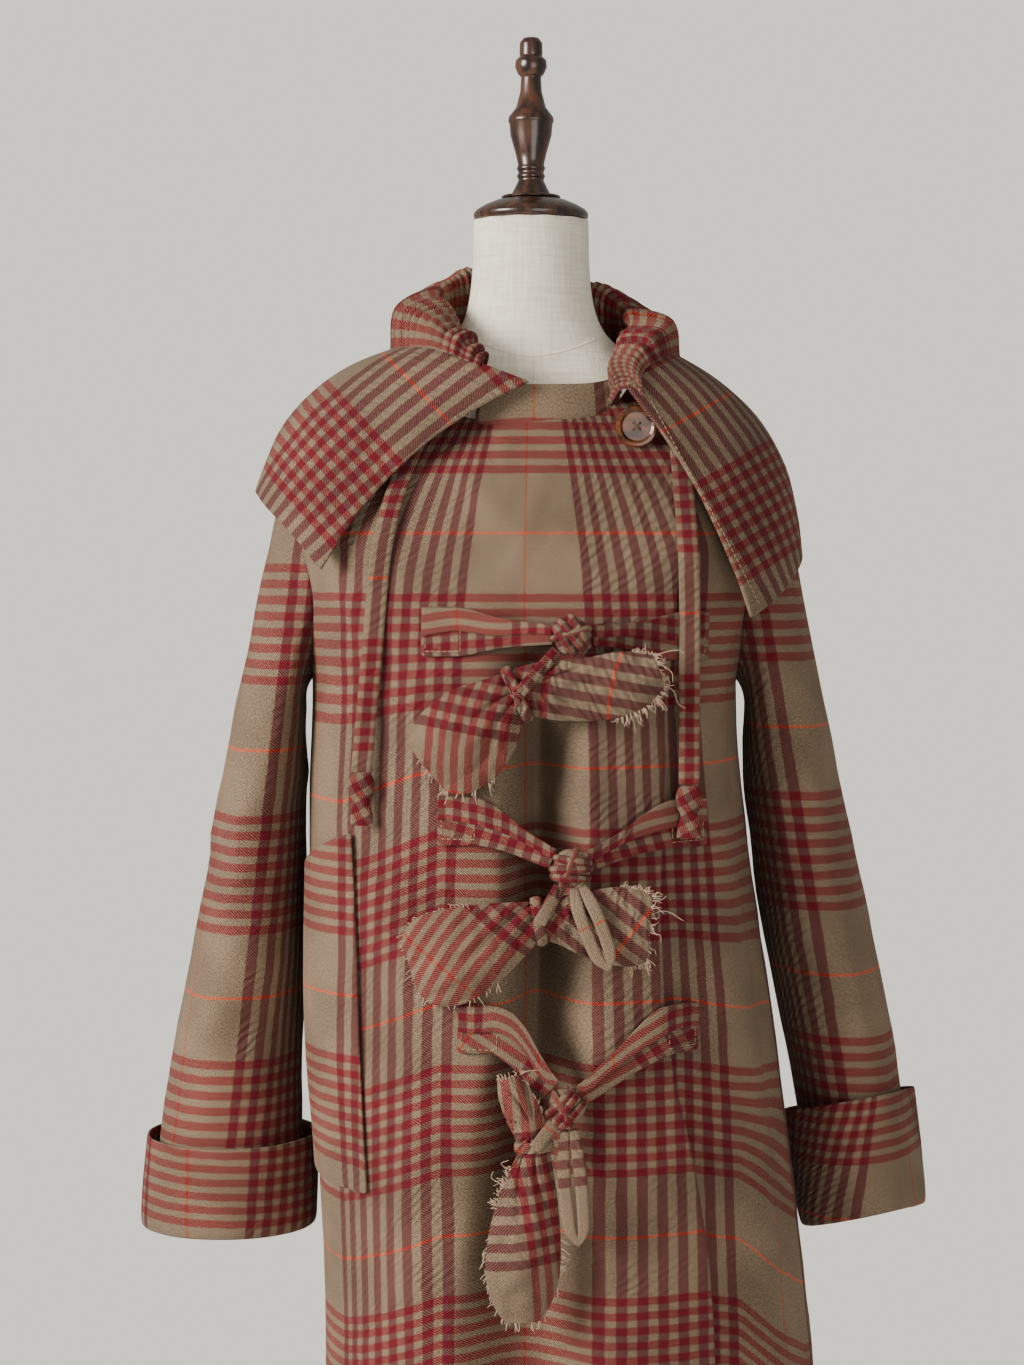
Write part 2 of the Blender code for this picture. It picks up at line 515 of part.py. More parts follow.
def right_front(u, level):
    """Wrapped right front. u runs 0..4: side seam, ridge, deep fold, lap ridge, edge."""
    u, level = np.broadcast_arrays(np.asarray(u, float), np.asarray(level, float))
    z = front_z(level)
    marks = [np.full_like(z, -0.5 * math.pi)]
    marks += [angle_at(column(WRAP, name, z, "z"), level) for name in ("ridge_x", "fold_x", "lap_x", "edge_x")]
    highs = [np.zeros_like(z)] + [column(WRAP, name, z, "z") for name in ("ridge", "fold", "lap", "edge")]
    place = np.clip(np.floor(u), 0, 3).astype(int)
    part = u - place
    start = np.choose(place, marks[:4])
    end = np.choose(place, marks[1:])
    theta = start + (end - start) * part
    theta = draw_in(theta + 0.5 * math.pi, level, math.pi) - 0.5 * math.pi
    height = np.choose(place, highs[:4]) + (np.choose(place, highs[1:]) - np.choose(place, highs[:4])) * ease(part)
    height = height + fold_height(RIGHT_FOLDS, theta, level)
    return body_base(theta, level) + body_normal(theta, level) * height[..., None]


def left_front(u, level):
    """Under-lapping left front. u runs 0..1 from its hidden edge to the side seam."""
    u, level = np.broadcast_arrays(np.asarray(u, float), np.asarray(level, float))
    start = angle_at(column(WRAP, "hidden_x", front_z(level), "z"), level)
    theta = start + (0.5 * math.pi - start) * u
    theta = 0.5 * math.pi - draw_in(0.5 * math.pi - theta, level, math.pi)
    height = fold_height(LEFT_FOLDS, theta, level)
    return body_base(theta, level) + body_normal(theta, level) * height[..., None]


def back(u, level):
    """Back. u runs 0..1 from the left side seam round to the right one."""
    u, level = np.broadcast_arrays(np.asarray(u, float), np.asarray(level, float))
    from_side = math.pi * np.minimum(u, 1.0 - u)
    from_side = draw_in(from_side, level, math.pi)
    theta = np.where(u < 0.5, 0.5 * math.pi + from_side, 1.5 * math.pi - from_side)
    height = fold_height(BACK_FOLDS, theta, level)
    return body_base(theta, level) + body_normal(theta, level) * height[..., None]


def panel(name, surface, u_values, seams):
    """A body panel's wall. seams says which u ends, first and last, stop a seam gap short."""
    u, level = np.meshgrid(np.asarray(u_values, float), np.asarray(LEVELS, float))
    outer = surface(u, level)
    inward = -CLOTH * surface_normals(surface, u, level)
    for end, beside in ((0, 1), (-1, -2)):
        if seams[end]:
            outer[:, end] += 0.5 * SEAM * unit(outer[:, beside] - outer[:, end])
    return wall(name, outer, inward, PLAID)


def make_body():
    """Both fronts and the back."""
    wrap_u = np.concatenate([np.linspace(0, 1, 9)[:-1], 1 + np.linspace(0, 1, 5)[:-1],
                             2 + np.linspace(0, 1, 5)[:-1], 3 + np.linspace(0, 1, 6)])
    right = panel("right_front", right_front, wrap_u, (True, False))
    left = panel("left_front", left_front, np.linspace(0, 1, 11), (False, True))
    rear = panel("back", back, np.linspace(0, 1, 21), (True, True))
    return right, left, rear


# ---------------------------------------------------------------- sleeves and cuffs
def sleeve_ring(cuts, side, turn, z):
    """Point of a sleeve's level section. turn runs 0..1 from the outer side over the front."""
    values = {name: column(cuts, name, z, "z") for name in Cut._fields[1:]}
    out, fore = np.cos(2 * math.pi * turn), np.sin(2 * math.pi * turn)
    lift = values["tilt_x"] * values["half_x"] * out - values["tilt_y"] * values["half_y"] * fore
    return np.stack([side * (values["x"] + values["half_x"] * out), values["y"] - values["half_y"] * fore,
                     z + lift], axis=-1)


def armhole_ring(side, turn):
    """The sleeve's seam on the body, a small gap inside the edge that the panels' armholes leave."""
    turn = np.asarray(turn, float) % 1.0
    edge_levels = np.array([level for level in LEVELS if DROP <= level <= UNDERARM])
    cut = armhole_cut((edge_levels - DROP) / (UNDERARM - DROP))
    front_edge = body_base(side * (0.5 * math.pi - cut), edge_levels)
    back_edge = body_base(side * (0.5 * math.pi + cut), edge_levels)
    middle = 0.5 * (front_edge.mean(axis=0) + back_edge.mean(axis=0))
    level = DROP + (UNDERARM - DROP) * (0.5 - 0.5 * np.cos(2 * math.pi * turn))
    ring = np.stack([np.where(turn < 0.5, np.interp(level, edge_levels, front_edge[:, k]),
                              np.interp(level, edge_levels, back_edge[:, k])) for k in range(3)], axis=-1)
    inward = (middle - ring) * np.array([0.0, 1.0, 1.0])
    return ring + unit(inward) * ARMHOLE_GAP


def sleeve(cuts, side):
    """The sleeve's surface as a function of turn 0..1 and depth 0..2 (armhole, first cut, end)."""
    top_z, end_z = cuts[0].z, cuts[-1].z

    def surface(turn, depth):
        turn, depth = np.broadcast_arrays(np.asarray(turn, float), np.asarray(depth, float))
        t = np.clip(depth, 0.0, 1.0)[..., None]
        start = armhole_ring(side, turn)
        first = sleeve_ring(cuts, side, turn, np.full(turn.shape, top_z))
        above = (0.5 + 0.5 * np.cos(2 * math.pi * turn))[..., None]
        leave = start + np.array([side * 0.016, 0.0, -0.004]) + np.array([0.0, 0.0, -0.055]) * above
        arrive = first + np.array([-side * 0.22, 0.0, 1.0]) * (0.026 + 0.080 * above)
        cap = (1 - t) ** 3 * start + 3 * t * (1 - t) ** 2 * leave + 3 * t**2 * (1 - t) * arrive + t**3 * first
        low_z = top_z + (end_z - top_z) * np.clip(depth - 1.0, 0.0, None)
        point = np.where((depth <= 1.0)[..., None], cap, sleeve_ring(cuts, side, turn, low_z))
        middle = np.stack([np.full(turn.shape, side * cuts[1].x), np.full(turn.shape, cuts[1].y),
                           point[..., 2]], axis=-1)
        swell = fold_height(SLEEVE_FOLDS, 2 * math.pi * (turn % 1.0), depth / 2.0)
        return point + unit(point - middle) * swell[..., None]

    return surface


def make_sleeve(name, cuts, side, cuff_height):
    """A sleeve and its turned-up cuff."""
    surface = sleeve(cuts, side)
    turns = np.arange(SLEEVE_COLUMNS) / SLEEVE_COLUMNS
    drop = cuts[0].z - cuts[-1].z
    last = 2.0 - SLEEVE_END / drop
    depths = np.concatenate([np.linspace(0, 1, SLEEVE_CAP_ROWS)[:-1], np.linspace(1, last, SLEEVE_LOW_ROWS)])
    turn, depth = np.meshgrid(turns, depths)
    outer = surface(turn, depth)
    normal = surface_normals(surface, turn, depth) * side
    centre = outer.mean(axis=1, keepdims=True)
    normal = np.where(((outer - centre) * normal).sum(-1, keepdims=True) < 0, -normal, normal)
    bodyward = unit(outer[0] - centre[0])
    normal[0] = unit(normal[0] + 0.8 * np.array([side, 0.0, 0.0]) + 0.2 * bodyward)
    tube = wall(name + "_sleeve", outer, -CLOTH * normal, PLAID, wrap=True)

    fold_ring = surface(turns, np.full(turns.shape, 2.0))
    centre = fold_ring.mean(axis=0)
    away = fold_ring - centre
    away[:, 2] = 0.0
    away = unit(away)
    up = unit(surface(turns, np.full(turns.shape, 1.6)) - fold_ring)
    outline = np.array(CUFF_OUTLINE)
    rise = outline[:, 1] + cuff_height * outline[:, 2]
    sections = fold_ring[:, None] + away[:, None] * outline[None, :, :1] + up[:, None] * rise[None, :, None]
    cuff = swept_ring(name + "_cuff", sections, PLAID)
    return tube, cuff


# ---------------------------------------------------------------- collar
def rail(name, t):
    """A collar rail (crest, crease or hem), or a plain column, at station t."""
    return smooth(np.arange(len(COLLAR)), [getattr(s, name) for s in COLLAR], t)


def stand_surface(s, t):
    """Gathered stand and roll. s runs 0..4: neck seam, stand, crest, roll, crease."""
    s, t = np.broadcast_arrays(np.asarray(s, float), np.asarray(t, float))
    foot = body_base(rail("neck_angle", t) * DEGREE, np.zeros_like(t)) + np.array([0.0, 0.0, 0.0028])
    crest, crease = rail("crest", t), rail("crease", t)
    away = unit(crease * np.array([1.0, 1.0, 0.0]))
    roll_out = rail("roll", t)[..., None]
    inner = 0.5 * (foot + crest) - away * 0.25 * roll_out
    roll = 0.45 * crest + 0.55 * crease + away * roll_out * 0.8 + np.array([0, 0, 1.0]) * roll_out * 0.7
    keys = np.stack([foot, inner, crest, roll, crease])
    slopes = np.gradient(keys, axis=0)
    place = np.clip(np.floor(s), 0, 3).astype(int)
    part = (s - place)[..., None]

    def pick(which, offset):
        chosen = np.clip(place + offset, 0, 4)[None, ..., None]
        return np.take_along_axis(which, np.broadcast_to(chosen, (1,) + which.shape[1:]), axis=0)[0]

    return ((2 * part**3 - 3 * part**2 + 1) * pick(keys, 0) + (part**3 - 2 * part**2 + part) * pick(slopes, 0)
            + (3 * part**2 - 2 * part**3) * pick(keys, 1) + (part**3 - part**2) * pick(slopes, 1))


def fall_surface(s, t):
    """The wide falling collar. s runs 0..1 from the crease to its outer edge."""
    s, t = np.broadcast_arrays(np.asarray(s, float), np.asarray(t, float))
    crease, hem = rail("crease", t), rail("hem", t)
    along = unit(hem - crease)
    up = np.array([0.0, 0.0, 1.0]) - along * along[..., 2:]
    crown = 0.5 * (crease + hem) + 2.0 * rail("belly", t)[..., None] * unit(up)
    s = s[..., None]
    return (1 - s) ** 2 * crease + 2 * s * (1 - s) * crown + s**2 * hem


def make_collar():
    """The gathered stand and the wide fall."""
    columns = 2 * GATHERS + 1
    t_values = np.linspace(STAND_FROM, STAND_TO, columns)
    s_values = np.array([0.0, 0.8, 1.5, 2.1, 2.9, 4.0])
    t, s = np.meshgrid(t_values, s_values)
    normal = -surface_normals(lambda a, b: stand_surface(b, a), t, s)
    envelope = np.interp(s_values, [0.0, 1.0, 2.0, 3.0, 4.0], [0.5, 1.0, 0.9, 0.7, 0.0])[:, None, None]
    wave = np.where(np.arange(columns) % 2, 1.0, -1.0)[None, :, None]
    # At the roll the outer face looks away from the neck, and in the stand it looks at the neck.
    outer = stand_surface(s, t) + normal * envelope * wave * GATHER_HEIGHT
    stand = wall("collar_stand", outer, -normal * DOUBLE * 0.8, PLAID)

    t, s = np.meshgrid(np.linspace(0, len(COLLAR) - 1, FALL_COLUMNS), np.linspace(0, 1, FALL_ROWS))
    outer = fall_surface(s, t)
    outer[0] += CREASE_GAP * unit(outer[1] - outer[0])
    normal = -surface_normals(lambda a, b: fall_surface(b, a), t, s)
    fall = wall("collar_fall", outer, -normal * DOUBLE, PLAID)
    return stand, fall


def make_band():
    """The neck band that stands on the right front's top edge."""
    angles = np.linspace(BAND_FROM, BAND_TO, 13) * DEGREE
    edge = body_base(angles, np.zeros_like(angles)) + body_normal(angles, np.zeros_like(angles)) * 0.003
    outward = unit(edge * np.array([1.0, 1.0, 0.0]))
    rows = [edge + np.array([0, 0, SEAM + h]) - outward * 0.10 * h for h in np.linspace(0, BAND_HEIGHT, 3)]
    outer = np.stack(rows)
    return wall("neck_band", outer, -np.broadcast_to(outward, outer.shape) * CLOTH, PLAID)


# ---------------------------------------------------------------- pocket
def make_pocket():
    """A patch pocket whose bag stands off the right front that it lies on."""
    across, down = np.meshgrid(np.linspace(0, 1, POCKET_COLUMNS), np.linspace(0, 1, POCKET_ROWS))
    inner = POCKET_INNER_TOP + (POCKET_INNER_LOW - POCKET_INNER_TOP) * down
    theta = (inner + (POCKET_OUTER - inner) * across) * DEGREE
    top = POCKET_TOP_INNER + (POCKET_TOP_OUTER - POCKET_TOP_INNER) * across
    level = top + (POCKET_LOW - top) * down
    bag = np.sin(math.pi * (0.03 + 0.97 * down)) * np.sin(math.pi * across) ** 0.8
    mouth = (1 - down) ** 3 * np.sin(math.pi * across)
    lift = LIE + CLOTH + 0.0001 + POCKET_BULGE * bag + POCKET_MOUTH * mouth
    normal = body_normal(theta, level)
    ridge = angle_at(column(WRAP, "ridge_x", front_z(level), "z"), level)
    part = (theta + 0.5 * math.pi) / (ridge + 0.5 * math.pi)
    outer = right_front(part, level) + normal * lift[..., None]
    return wall("right_pocket", outer, -normal * CLOTH, PLAID)


# ---------------------------------------------------------------- straps, ties and rags
def ribbon(path, across, half_widths, thickness):
    """Rings of a flat band along a path: six points each, thin at both edges."""
    path, across = np.asarray(path, float), unit(np.asarray(across, float))
    along = unit(np.gradient(path, axis=0))
    facing = unit(np.cross(along, across))
    halves = np.asarray(half_widths, float)[:, None] * np.ones((len(path), 1))
    rings = []
    for wide, out in ((1.0, 0.0), (0.8, 0.5), (-0.8, 0.5), (-1.0, 0.0), (-0.8, -0.5), (0.8, -0.5)):
        rings.append(path + across * halves * wide + facing * thickness * out)
    return np.stack(rings, axis=1)


def knot(centre, halves, wraps, spec_name):
    """A pulled-tight knot: an ellipsoid with the grooves of its wraps."""
    work = bmesh.new()
    bmesh.ops.create_uvsphere(work, u_segments=12, v_segments=8, radius=1.0)
    for vertex in work.verts:
        turn = math.atan2(vertex.co.z, vertex.co.x) + 1.2 * vertex.co.y
        groove = 1.0 + 0.07 * math.cos(wraps * turn) * (1.0 - vertex.co.y**2)
        vertex.co = Vector([centre[i] + vertex.co[i] * halves[i] * groove for i in range(3)])
    mesh = bpy.data.meshes.new(spec_name)
    work.to_mesh(mesh)
    work.free()
    mesh.shade_smooth()
    return add(spec_name, mesh, PLAID)


def taut(depths):
    """Depths of a band pulled tight over evenly spaced cloth depths, lower being nearer the front."""
    tight = list(depths)
    for first in range(len(depths)):
        for last in range(first + 2, len(depths)):
            for i in range(first + 1, last):
                part = (i - first) / (last - first)
                tight[i] = min(tight[i], depths[first] + (depths[last] - depths[first]) * part)
    return np.array(tight)


def make_strap(side_name, route, carriers):
    """A flat hanging strap, and its knot with the frayed end, on one route."""
    front_y = outermost(carriers)
    half = STRAP_WIDTH / 2
    rows = 14
    route = smooth(np.arange(len(route)), np.array(route), np.linspace(0, len(route) - 1, rows))
    end_x, end_z = route[-1]
    out = min(front_y(end_x + part * wide, end_z + drop) - deep
              for drop, wide, deep in STRAP_KNOT for part in (-1.0, 0.0, 1.0)) - LIE
    depths = [min(front_y(x + part * half, z + dz) for part in (-1.0, 0.0, 1.0) for dz in (-0.011, 0.0, 0.011))
              - STRAP_THICK / 2 - LIE for x, z in route]
    depths[-1] = out
    path = np.stack([route[:, 0], taut(depths), route[:, 1]], axis=1)
    strap = loft(side_name + "_strap", ribbon(path, np.tile((1.0, 0.0, 0.0), (rows, 1)), [half] * rows,
                                              STRAP_THICK), PLAID)
    around = np.linspace(0, 2 * math.pi, 12, endpoint=False)
    rings = [np.stack([end_x + wide * np.cos(around), out + deep * np.sin(around),
                       np.full(12, end_z - 0.0008 + drop)], axis=1) for drop, wide, deep in STRAP_KNOT]
    end = loft(side_name + "_strap_knot", np.array(rings), PLAID)
    seat([strap, end], carriers, 1.4 * SEAT_GAP)


def tie_path(anchor, stop, tab, front_y):
    """Route of a tie from its stitched tab to its stop at the knot, in front of the cloth."""
    start_x, start_z = anchor
    tab_x = start_x + math.copysign(tab, stop[0] - start_x)
    xs = np.concatenate([np.linspace(start_x, tab_x, 4)[:-1], np.linspace(tab_x, stop[0], 7)])
    zs = np.concatenate([np.full(3, start_z), np.linspace(start_z, stop[2], 7)])
    depths = []
    for i, (x, z) in enumerate(zip(xs, zs)):
        half_step = 0.005 if i < 3 else abs(stop[0] - tab_x) / 6
        near = min(front_y(x + part * half_step, z + h)
                   for h in (-0.0215, -0.0145, -0.007, 0.0, 0.007, 0.0145, 0.0215)
                   for part in (-1.0, -0.5, 0.0, 0.5, 1.0))
        depths.append(near - 0.5 * LIE - TIE_THICK / 2)
    depths[-1] = stop[1]
    return np.stack([xs, taut(depths), zs], axis=1)


def make_tie(tie, fronts):
    """Both ends of a tie, seated on the fronts, and its knot."""
    centre = np.array([tie.knot_x, tie.knot_y, tie.knot_z])
    middle = knot(centre, KNOT_HALF, 3, f"{tie.name}_tie_knot")
    front_y = outermost(fronts)
    bands = []
    ends = (("right", (tie.right_x, tie.right_z), tie.right_tab), ("left", (tie.left_x, tie.left_z), tie.left_tab))
    for side_name, anchor, tab in ends:
        tab_x = anchor[0] + math.copysign(tab, centre[0] - anchor[0])
        away = unit(np.array([tab_x - centre[0], 0.0, anchor[1] - centre[2]]))
        stop = centre + away * (reach(middle, centre, away, TIE_END + 0.001) + SEAT_GAP)
        path = tie_path(anchor, stop, tab, front_y)
        along = unit(np.gradient(path, axis=0))
        across = unit(np.cross(along, np.array([0.0, 1.0, 0.0])))
        travel = np.linspace(0, 1, len(path))
        halves = np.interp(travel, [0.0, 0.32, 0.62, 1.0], [TAB_HEIGHT / 2, TAB_HEIGHT / 2, TIE_WIDTH * 0.62, TIE_END])
        band = loft(f"{tie.name}_tie_{side_name}", ribbon(path, across, halves, TIE_THICK), PLAID)
        seat([band], fronts)
        bands.append(band)
    return bands, middle


def rag_rings(centre, sections):
    """Rings of a gathered rag through its sections."""
    middle = np.array([(s.x, s.y, s.z) for s in sections]) + np.asarray(centre)
    along = np.gradient(middle, axis=0)
    along[:, 1] = 0.0
    across = unit(np.cross(unit(along), np.array([0.0, 1.0, 0.0])))
    around = np.linspace(0, 2 * math.pi, RAG_SIDES, endpoint=False)
    rings = []
    for place, side, section in zip(middle, across, sections):
        pleat = 1.0 + 0.10 * np.cos(4 * around)
        wide = side[None] * (section.half_width * np.cos(around) * pleat)[:, None]
        deep = np.array([[0.0, 1.0, 0.0]]) * (section.half_depth * np.sin(around) * pleat)[:, None]
        rings.append(place + wide + deep)
    return np.array(rings)


def make_hanging(tie, middle):
    """A tie's rag, the ring and tail that its end makes round it, and the free loop."""
    hang = HANGS[tie.name]
    centre = np.array([tie.knot_x, tie.knot_y, tie.knot_z])
    rag = loft(f"{tie.name}_rag", rag_rings(centre, RAGS[tie.name]), PLAID)
    along = unit(np.array(hang.ring_along))
    across = unit(np.cross(along, np.array([0.0, 1.0, 0.0])))
    sections = []
    for angle in np.linspace(0, 2 * math.pi, 18, endpoint=False):
        out = across * hang.ring_wide * math.cos(angle) + np.array([0.0, 1.0, 0.0]) * hang.ring_deep * math.sin(angle)
        place = centre + np.array(hang.ring_at) + out
        sections.append([place + unit(out) * 0.0012 * i + along * RING_HALF * j
                         for i, j in ((-1, -1), (1, -0.7), (1, 0.7), (-1, 1))])
    ring = swept_ring(f"{tie.name}_tie_ring", np.array(sections), PLAID)
    make_tail(tie, hang, centre, middle, [rag, ring])
    if hang.loop:
        make_loop(f"{tie.name}_tie_loop", hang.loop, centre, middle)


def make_tail(tie, hang, centre, middle, carriers):
    """The short end of a tie from its knot to the ring round the rag."""
    end = centre + np.array(hang.ring_at) - np.array([0.0, hang.ring_deep + RING_THICK + TIE_THICK / 2, 0.0])
    flat = unit(np.array([hang.ring_at[0], 0.0, hang.ring_at[2]]))
    lean = 0.7 * (hang.tail_rise - 0.001)
    start = centre + flat * (reach(middle, centre, flat, TAIL_HALF) + SEAT_GAP - lean) - np.array([0.0, hang.tail_rise, 0.0])
    over = 1.0 - (RING_HALF + 0.003) / np.linalg.norm(end - start)
    travel = np.array([0.0, 0.5 * over, over, 1.0])
    path = start + (end - start) * travel[:, None]
    path[:, 1] = start[1] + (end[1] - start[1]) * np.minimum(travel / over, 1.0)
    side = np.tile(unit(np.cross(flat, np.array([0.0, 1.0, 0.0]))), (4, 1))
    tail = loft(f"{tie.name}_tie_tail", ribbon(path, side, [TAIL_HALF] * 4, TIE_THICK), PLAID)
    seat([tail], carriers)


def make_loop(name, guide, centre, middle):
    """A free loop: one band that goes down from the knot, turns and comes back up beside itself."""
    guide = np.array(guide)
    way = unit(guide[0] * np.array([1.0, 0.0, 1.0]))
    guide[0] = way * (reach(middle, centre, way, LOOP_WIDTH) + 1.5 * SEAT_GAP) + guide[0] * np.array([0.0, 1.0, 0.0])
    line = smooth(np.arange(len(guide)), guide, np.linspace(0, len(guide) - 1, 6)) + centre
    side = unit(np.cross(unit(np.gradient(line, axis=0)), np.array([0.0, 1.0, 0.0])))
    apart = (LOOP_WIDTH + LOOP_SLIT) / 2
    spread = np.array([0.55, 0.8, 1.0, 1.05, 1.0, 0.9])[:, None]
    down, up = line - side * apart * spread, (line + side * apart * spread)[::-1]
    tip = line[-1] + unit(line[-1] - line[-2]) * apart * 1.1
    path = np.vstack([down, tip, up])
    along = unit(np.gradient(path, axis=0))
    across = unit(np.cross(along, np.array([0.0, 1.0, 0.0])))
    halves = np.array([0.0038] + [LOOP_WIDTH / 2] * 5 + [0.0046] + [LOOP_WIDTH / 2] * 5 + [0.0038])
    return loft(name, ribbon(path, across, halves, 0.0042), PLAID)


# ---------------------------------------------------------------- button
def make_button(front_y):
    """A four-hole horn button with a raised rim, sewn close to the cloth."""
    near = min(front_y(BUTTON_X + 0.0168 * dx, BUTTON_Z + 0.0168 * dz)
               for dx, dz in ((0, 0), (0.7, 0.7), (-0.7, 0.7), (0.7, -0.7), (-0.7, -0.7), (0, 1), (0, -1), (-1, 0)))
    thick = 0.0055
    outline = ((0.0, thick - 0.0016), (0.0125, thick - 0.0016), (0.0148, thick), (0.0172, thick - 0.0004),
               (BUTTON_RADIUS, thick - 0.002), (BUTTON_RADIUS - 0.0008, 0.0012), (0.0135, 0.0), (0.0, 0.0))
    mesh = bpy.data.meshes.new("button")
    mesh.from_pydata([(r, 0.0, h) for r, h in outline], [], [(i, i + 1) for i in range(len(outline) - 1)])
    guide = bpy.data.objects.new("button_guide", mesh)
    bpy.context.scene.collection.objects.link(guide)
    screw = guide.modifiers.new("Turn", "SCREW")
    screw.steps = screw.render_steps = 24
    screw.use_normal_flip = True
    screw.use_merge_vertices = True
    screw.merge_threshold = 0.00001
    disc = bpy.data.meshes.new_from_object(guide.evaluated_get(bpy.context.evaluated_depsgraph_get()))
    bpy.data.objects.remove(guide)
    disc.name = "button"
    piece = add("button", disc, HORN)
    piece.rotation_euler = (math.pi / 2, 0.0, 0.0)
    piece.location = (BUTTON_X, near - LIE, BUTTON_Z)
    for i in range(4):
        angle = math.pi / 4 + i * math.pi / 2
        bpy.ops.mesh.primitive_cylinder_add(vertices=8, radius=0.0013, depth=0.02, location=(
            BUTTON_X + 0.0038 * math.cos(angle), near, BUTTON_Z + 0.0038 * math.sin(angle)),
            rotation=(math.pi / 2, 0.0, 0.0))
        cutter = bpy.context.object
        cutter.name = f"button_hole_cutter_{i + 1}"
        cutter.display_type = "WIRE"
        cutter.hide_render = True
        for owner in list(cutter.users_collection):
            owner.objects.unlink(cutter)
        bpy.data.collections["cutters"].objects.link(cutter)
        cut = piece.modifiers.new(f"Hole {i + 1}", "BOOLEAN")
        cut.operation = "DIFFERENCE"
        cut.object = cutter
    return piece


# ---------------------------------------------------------------- dress form and stand
def make_form():
    """Padded torso with its neck, the wooden cap and finial, and the stand."""
    turn = np.linspace(0, 2 * math.pi, FORM_COLUMNS, endpoint=False)
    rings = []
    for level in FORM:
        deep = np.where(np.cos(turn) > 0, level.front, level.back)
        rings.append(np.stack([level.half * np.sin(turn), -deep * np.cos(turn),
                               np.full(FORM_COLUMNS, level.z)], axis=1))
    loft("form_torso", np.array(rings), LINEN)
    turned("form_neck_cap", CAP_OUTLINE, 20, WOOD)
    turned("form_finial", FINIAL_OUTLINE, 12, WOOD)
    turned("form_plate", PLATE_OUTLINE, 24, WOOD)
    turned("stand_pole", POLE_OUTLINE, 16, WOOD)
    turned("stand_base", BASE_OUTLINE, 32, WOOD)


def main():
    """Build every piece in its collection."""
    clear_scene()
    for name in ("cocoon_coat", "cutters"):
        bpy.context.scene.collection.children.link(bpy.data.collections.new(name))
    make_form()
    right, left, _ = make_body()
    make_sleeve("right", RIGHT_SLEEVE, -1.0, RIGHT_CUFF_HEIGHT)
    make_sleeve("left", LEFT_SLEEVE, 1.0, LEFT_CUFF_HEIGHT)
    make_collar()
    band = make_band()
    make_pocket()
    make_button(outermost([right, left, band]))
    carriers = [right, left]
    for tie in TIES:
        bands, middle = make_tie(tie, [right, left])
        make_hanging(tie, middle)
        carriers += bands
    make_strap("right", RIGHT_STRAP, carriers)
    make_strap("left", LEFT_STRAP, carriers)


main()
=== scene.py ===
"""Looks of a plaid wool cocoon coat on a limbless dress form: cloth, stitching, button, form and studio."""

import logging
import math
from dataclasses import dataclass, field
from enum import Enum
from typing import Callable, NamedTuple

import bmesh
import bpy
import numpy as np
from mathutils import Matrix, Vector
from mathutils.bvhtree import BVHTree


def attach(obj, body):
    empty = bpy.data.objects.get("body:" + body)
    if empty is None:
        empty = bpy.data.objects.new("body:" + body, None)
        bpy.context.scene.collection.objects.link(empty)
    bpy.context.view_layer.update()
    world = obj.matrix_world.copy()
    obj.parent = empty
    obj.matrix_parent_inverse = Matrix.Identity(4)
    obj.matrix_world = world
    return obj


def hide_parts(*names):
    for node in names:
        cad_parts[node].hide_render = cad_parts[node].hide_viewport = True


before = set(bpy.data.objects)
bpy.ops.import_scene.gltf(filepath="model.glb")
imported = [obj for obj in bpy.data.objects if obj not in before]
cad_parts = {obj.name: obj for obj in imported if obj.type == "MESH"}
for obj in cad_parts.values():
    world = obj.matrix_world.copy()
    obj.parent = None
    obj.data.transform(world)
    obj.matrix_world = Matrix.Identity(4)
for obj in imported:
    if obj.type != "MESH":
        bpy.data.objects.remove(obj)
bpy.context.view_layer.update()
log = logging.getLogger("coat")

ROOT = "root"


# ---------------------------------------------------------------- colour and nodes
def linear(code: str) -> tuple[float, float, float, float]:
    """Turn an sRGB hex colour into linear light.

    Args:
        code: six hex digits, with or without a leading hash.

    Returns:
        Linear red, green, blue and an alpha of 1.
    """
    digits = code.lstrip("#")
    channels = np.array([int(digits[i:i + 2], 16) for i in (0, 2, 4)]) / 255.0
    light = np.where(channels <= 0.04045, channels / 12.92, ((channels + 0.055) / 1.055) ** 2.4)
    return (*[float(value) for value in light], 1.0)


def add_node(tree: bpy.types.NodeTree, kind: str, links: dict | None = None,
             **settings: object) -> bpy.types.Node:
    """Add a node with its settings, and its sockets linked or set.

    Args:
        tree: the node tree.
        kind: the node's type name.
        links: socket name or number to a source socket or a constant.
        settings: properties of the node.

    Returns:
        The new node.
    """
    made = tree.nodes.new(kind)
    for name, value in settings.items():
        setattr(made, name, value)
    for socket, source in (links or {}).items():
        if isinstance(source, bpy.types.NodeSocket):
            tree.links.new(source, made.inputs[socket])
        else:
            made.inputs[socket].default_value = source
    return made


def maths(tree: bpy.types.NodeTree, operation: str, *values: object) -> bpy.types.NodeSocket:
    """One Math node's result on sockets or numbers."""
    return add_node(tree, "ShaderNodeMath", dict(enumerate(values)), operation=operation).outputs[0]


def ramp(tree: bpy.types.NodeTree, value: object, low: float, high: float,
         to_low: float = 0.0, to_high: float = 1.0) -> bpy.types.NodeSocket:
    """A smooth step of a value from low to high."""
    links = {"Value": value, "From Min": low, "From Max": high, "To Min": to_low, "To Max": to_high}
    return add_node(tree, "ShaderNodeMapRange", links, interpolation_type="SMOOTHSTEP").outputs["Result"]


def blend_colours(tree: bpy.types.NodeTree, share: object, first: object, second: object,
                  how: str = "MIX") -> bpy.types.NodeSocket:
    """Mix two colours by a share."""
    made = add_node(tree, "ShaderNodeMix", {0: share, 6: first, 7: second}, data_type="RGBA", blend_type=how)
    return made.outputs[2]


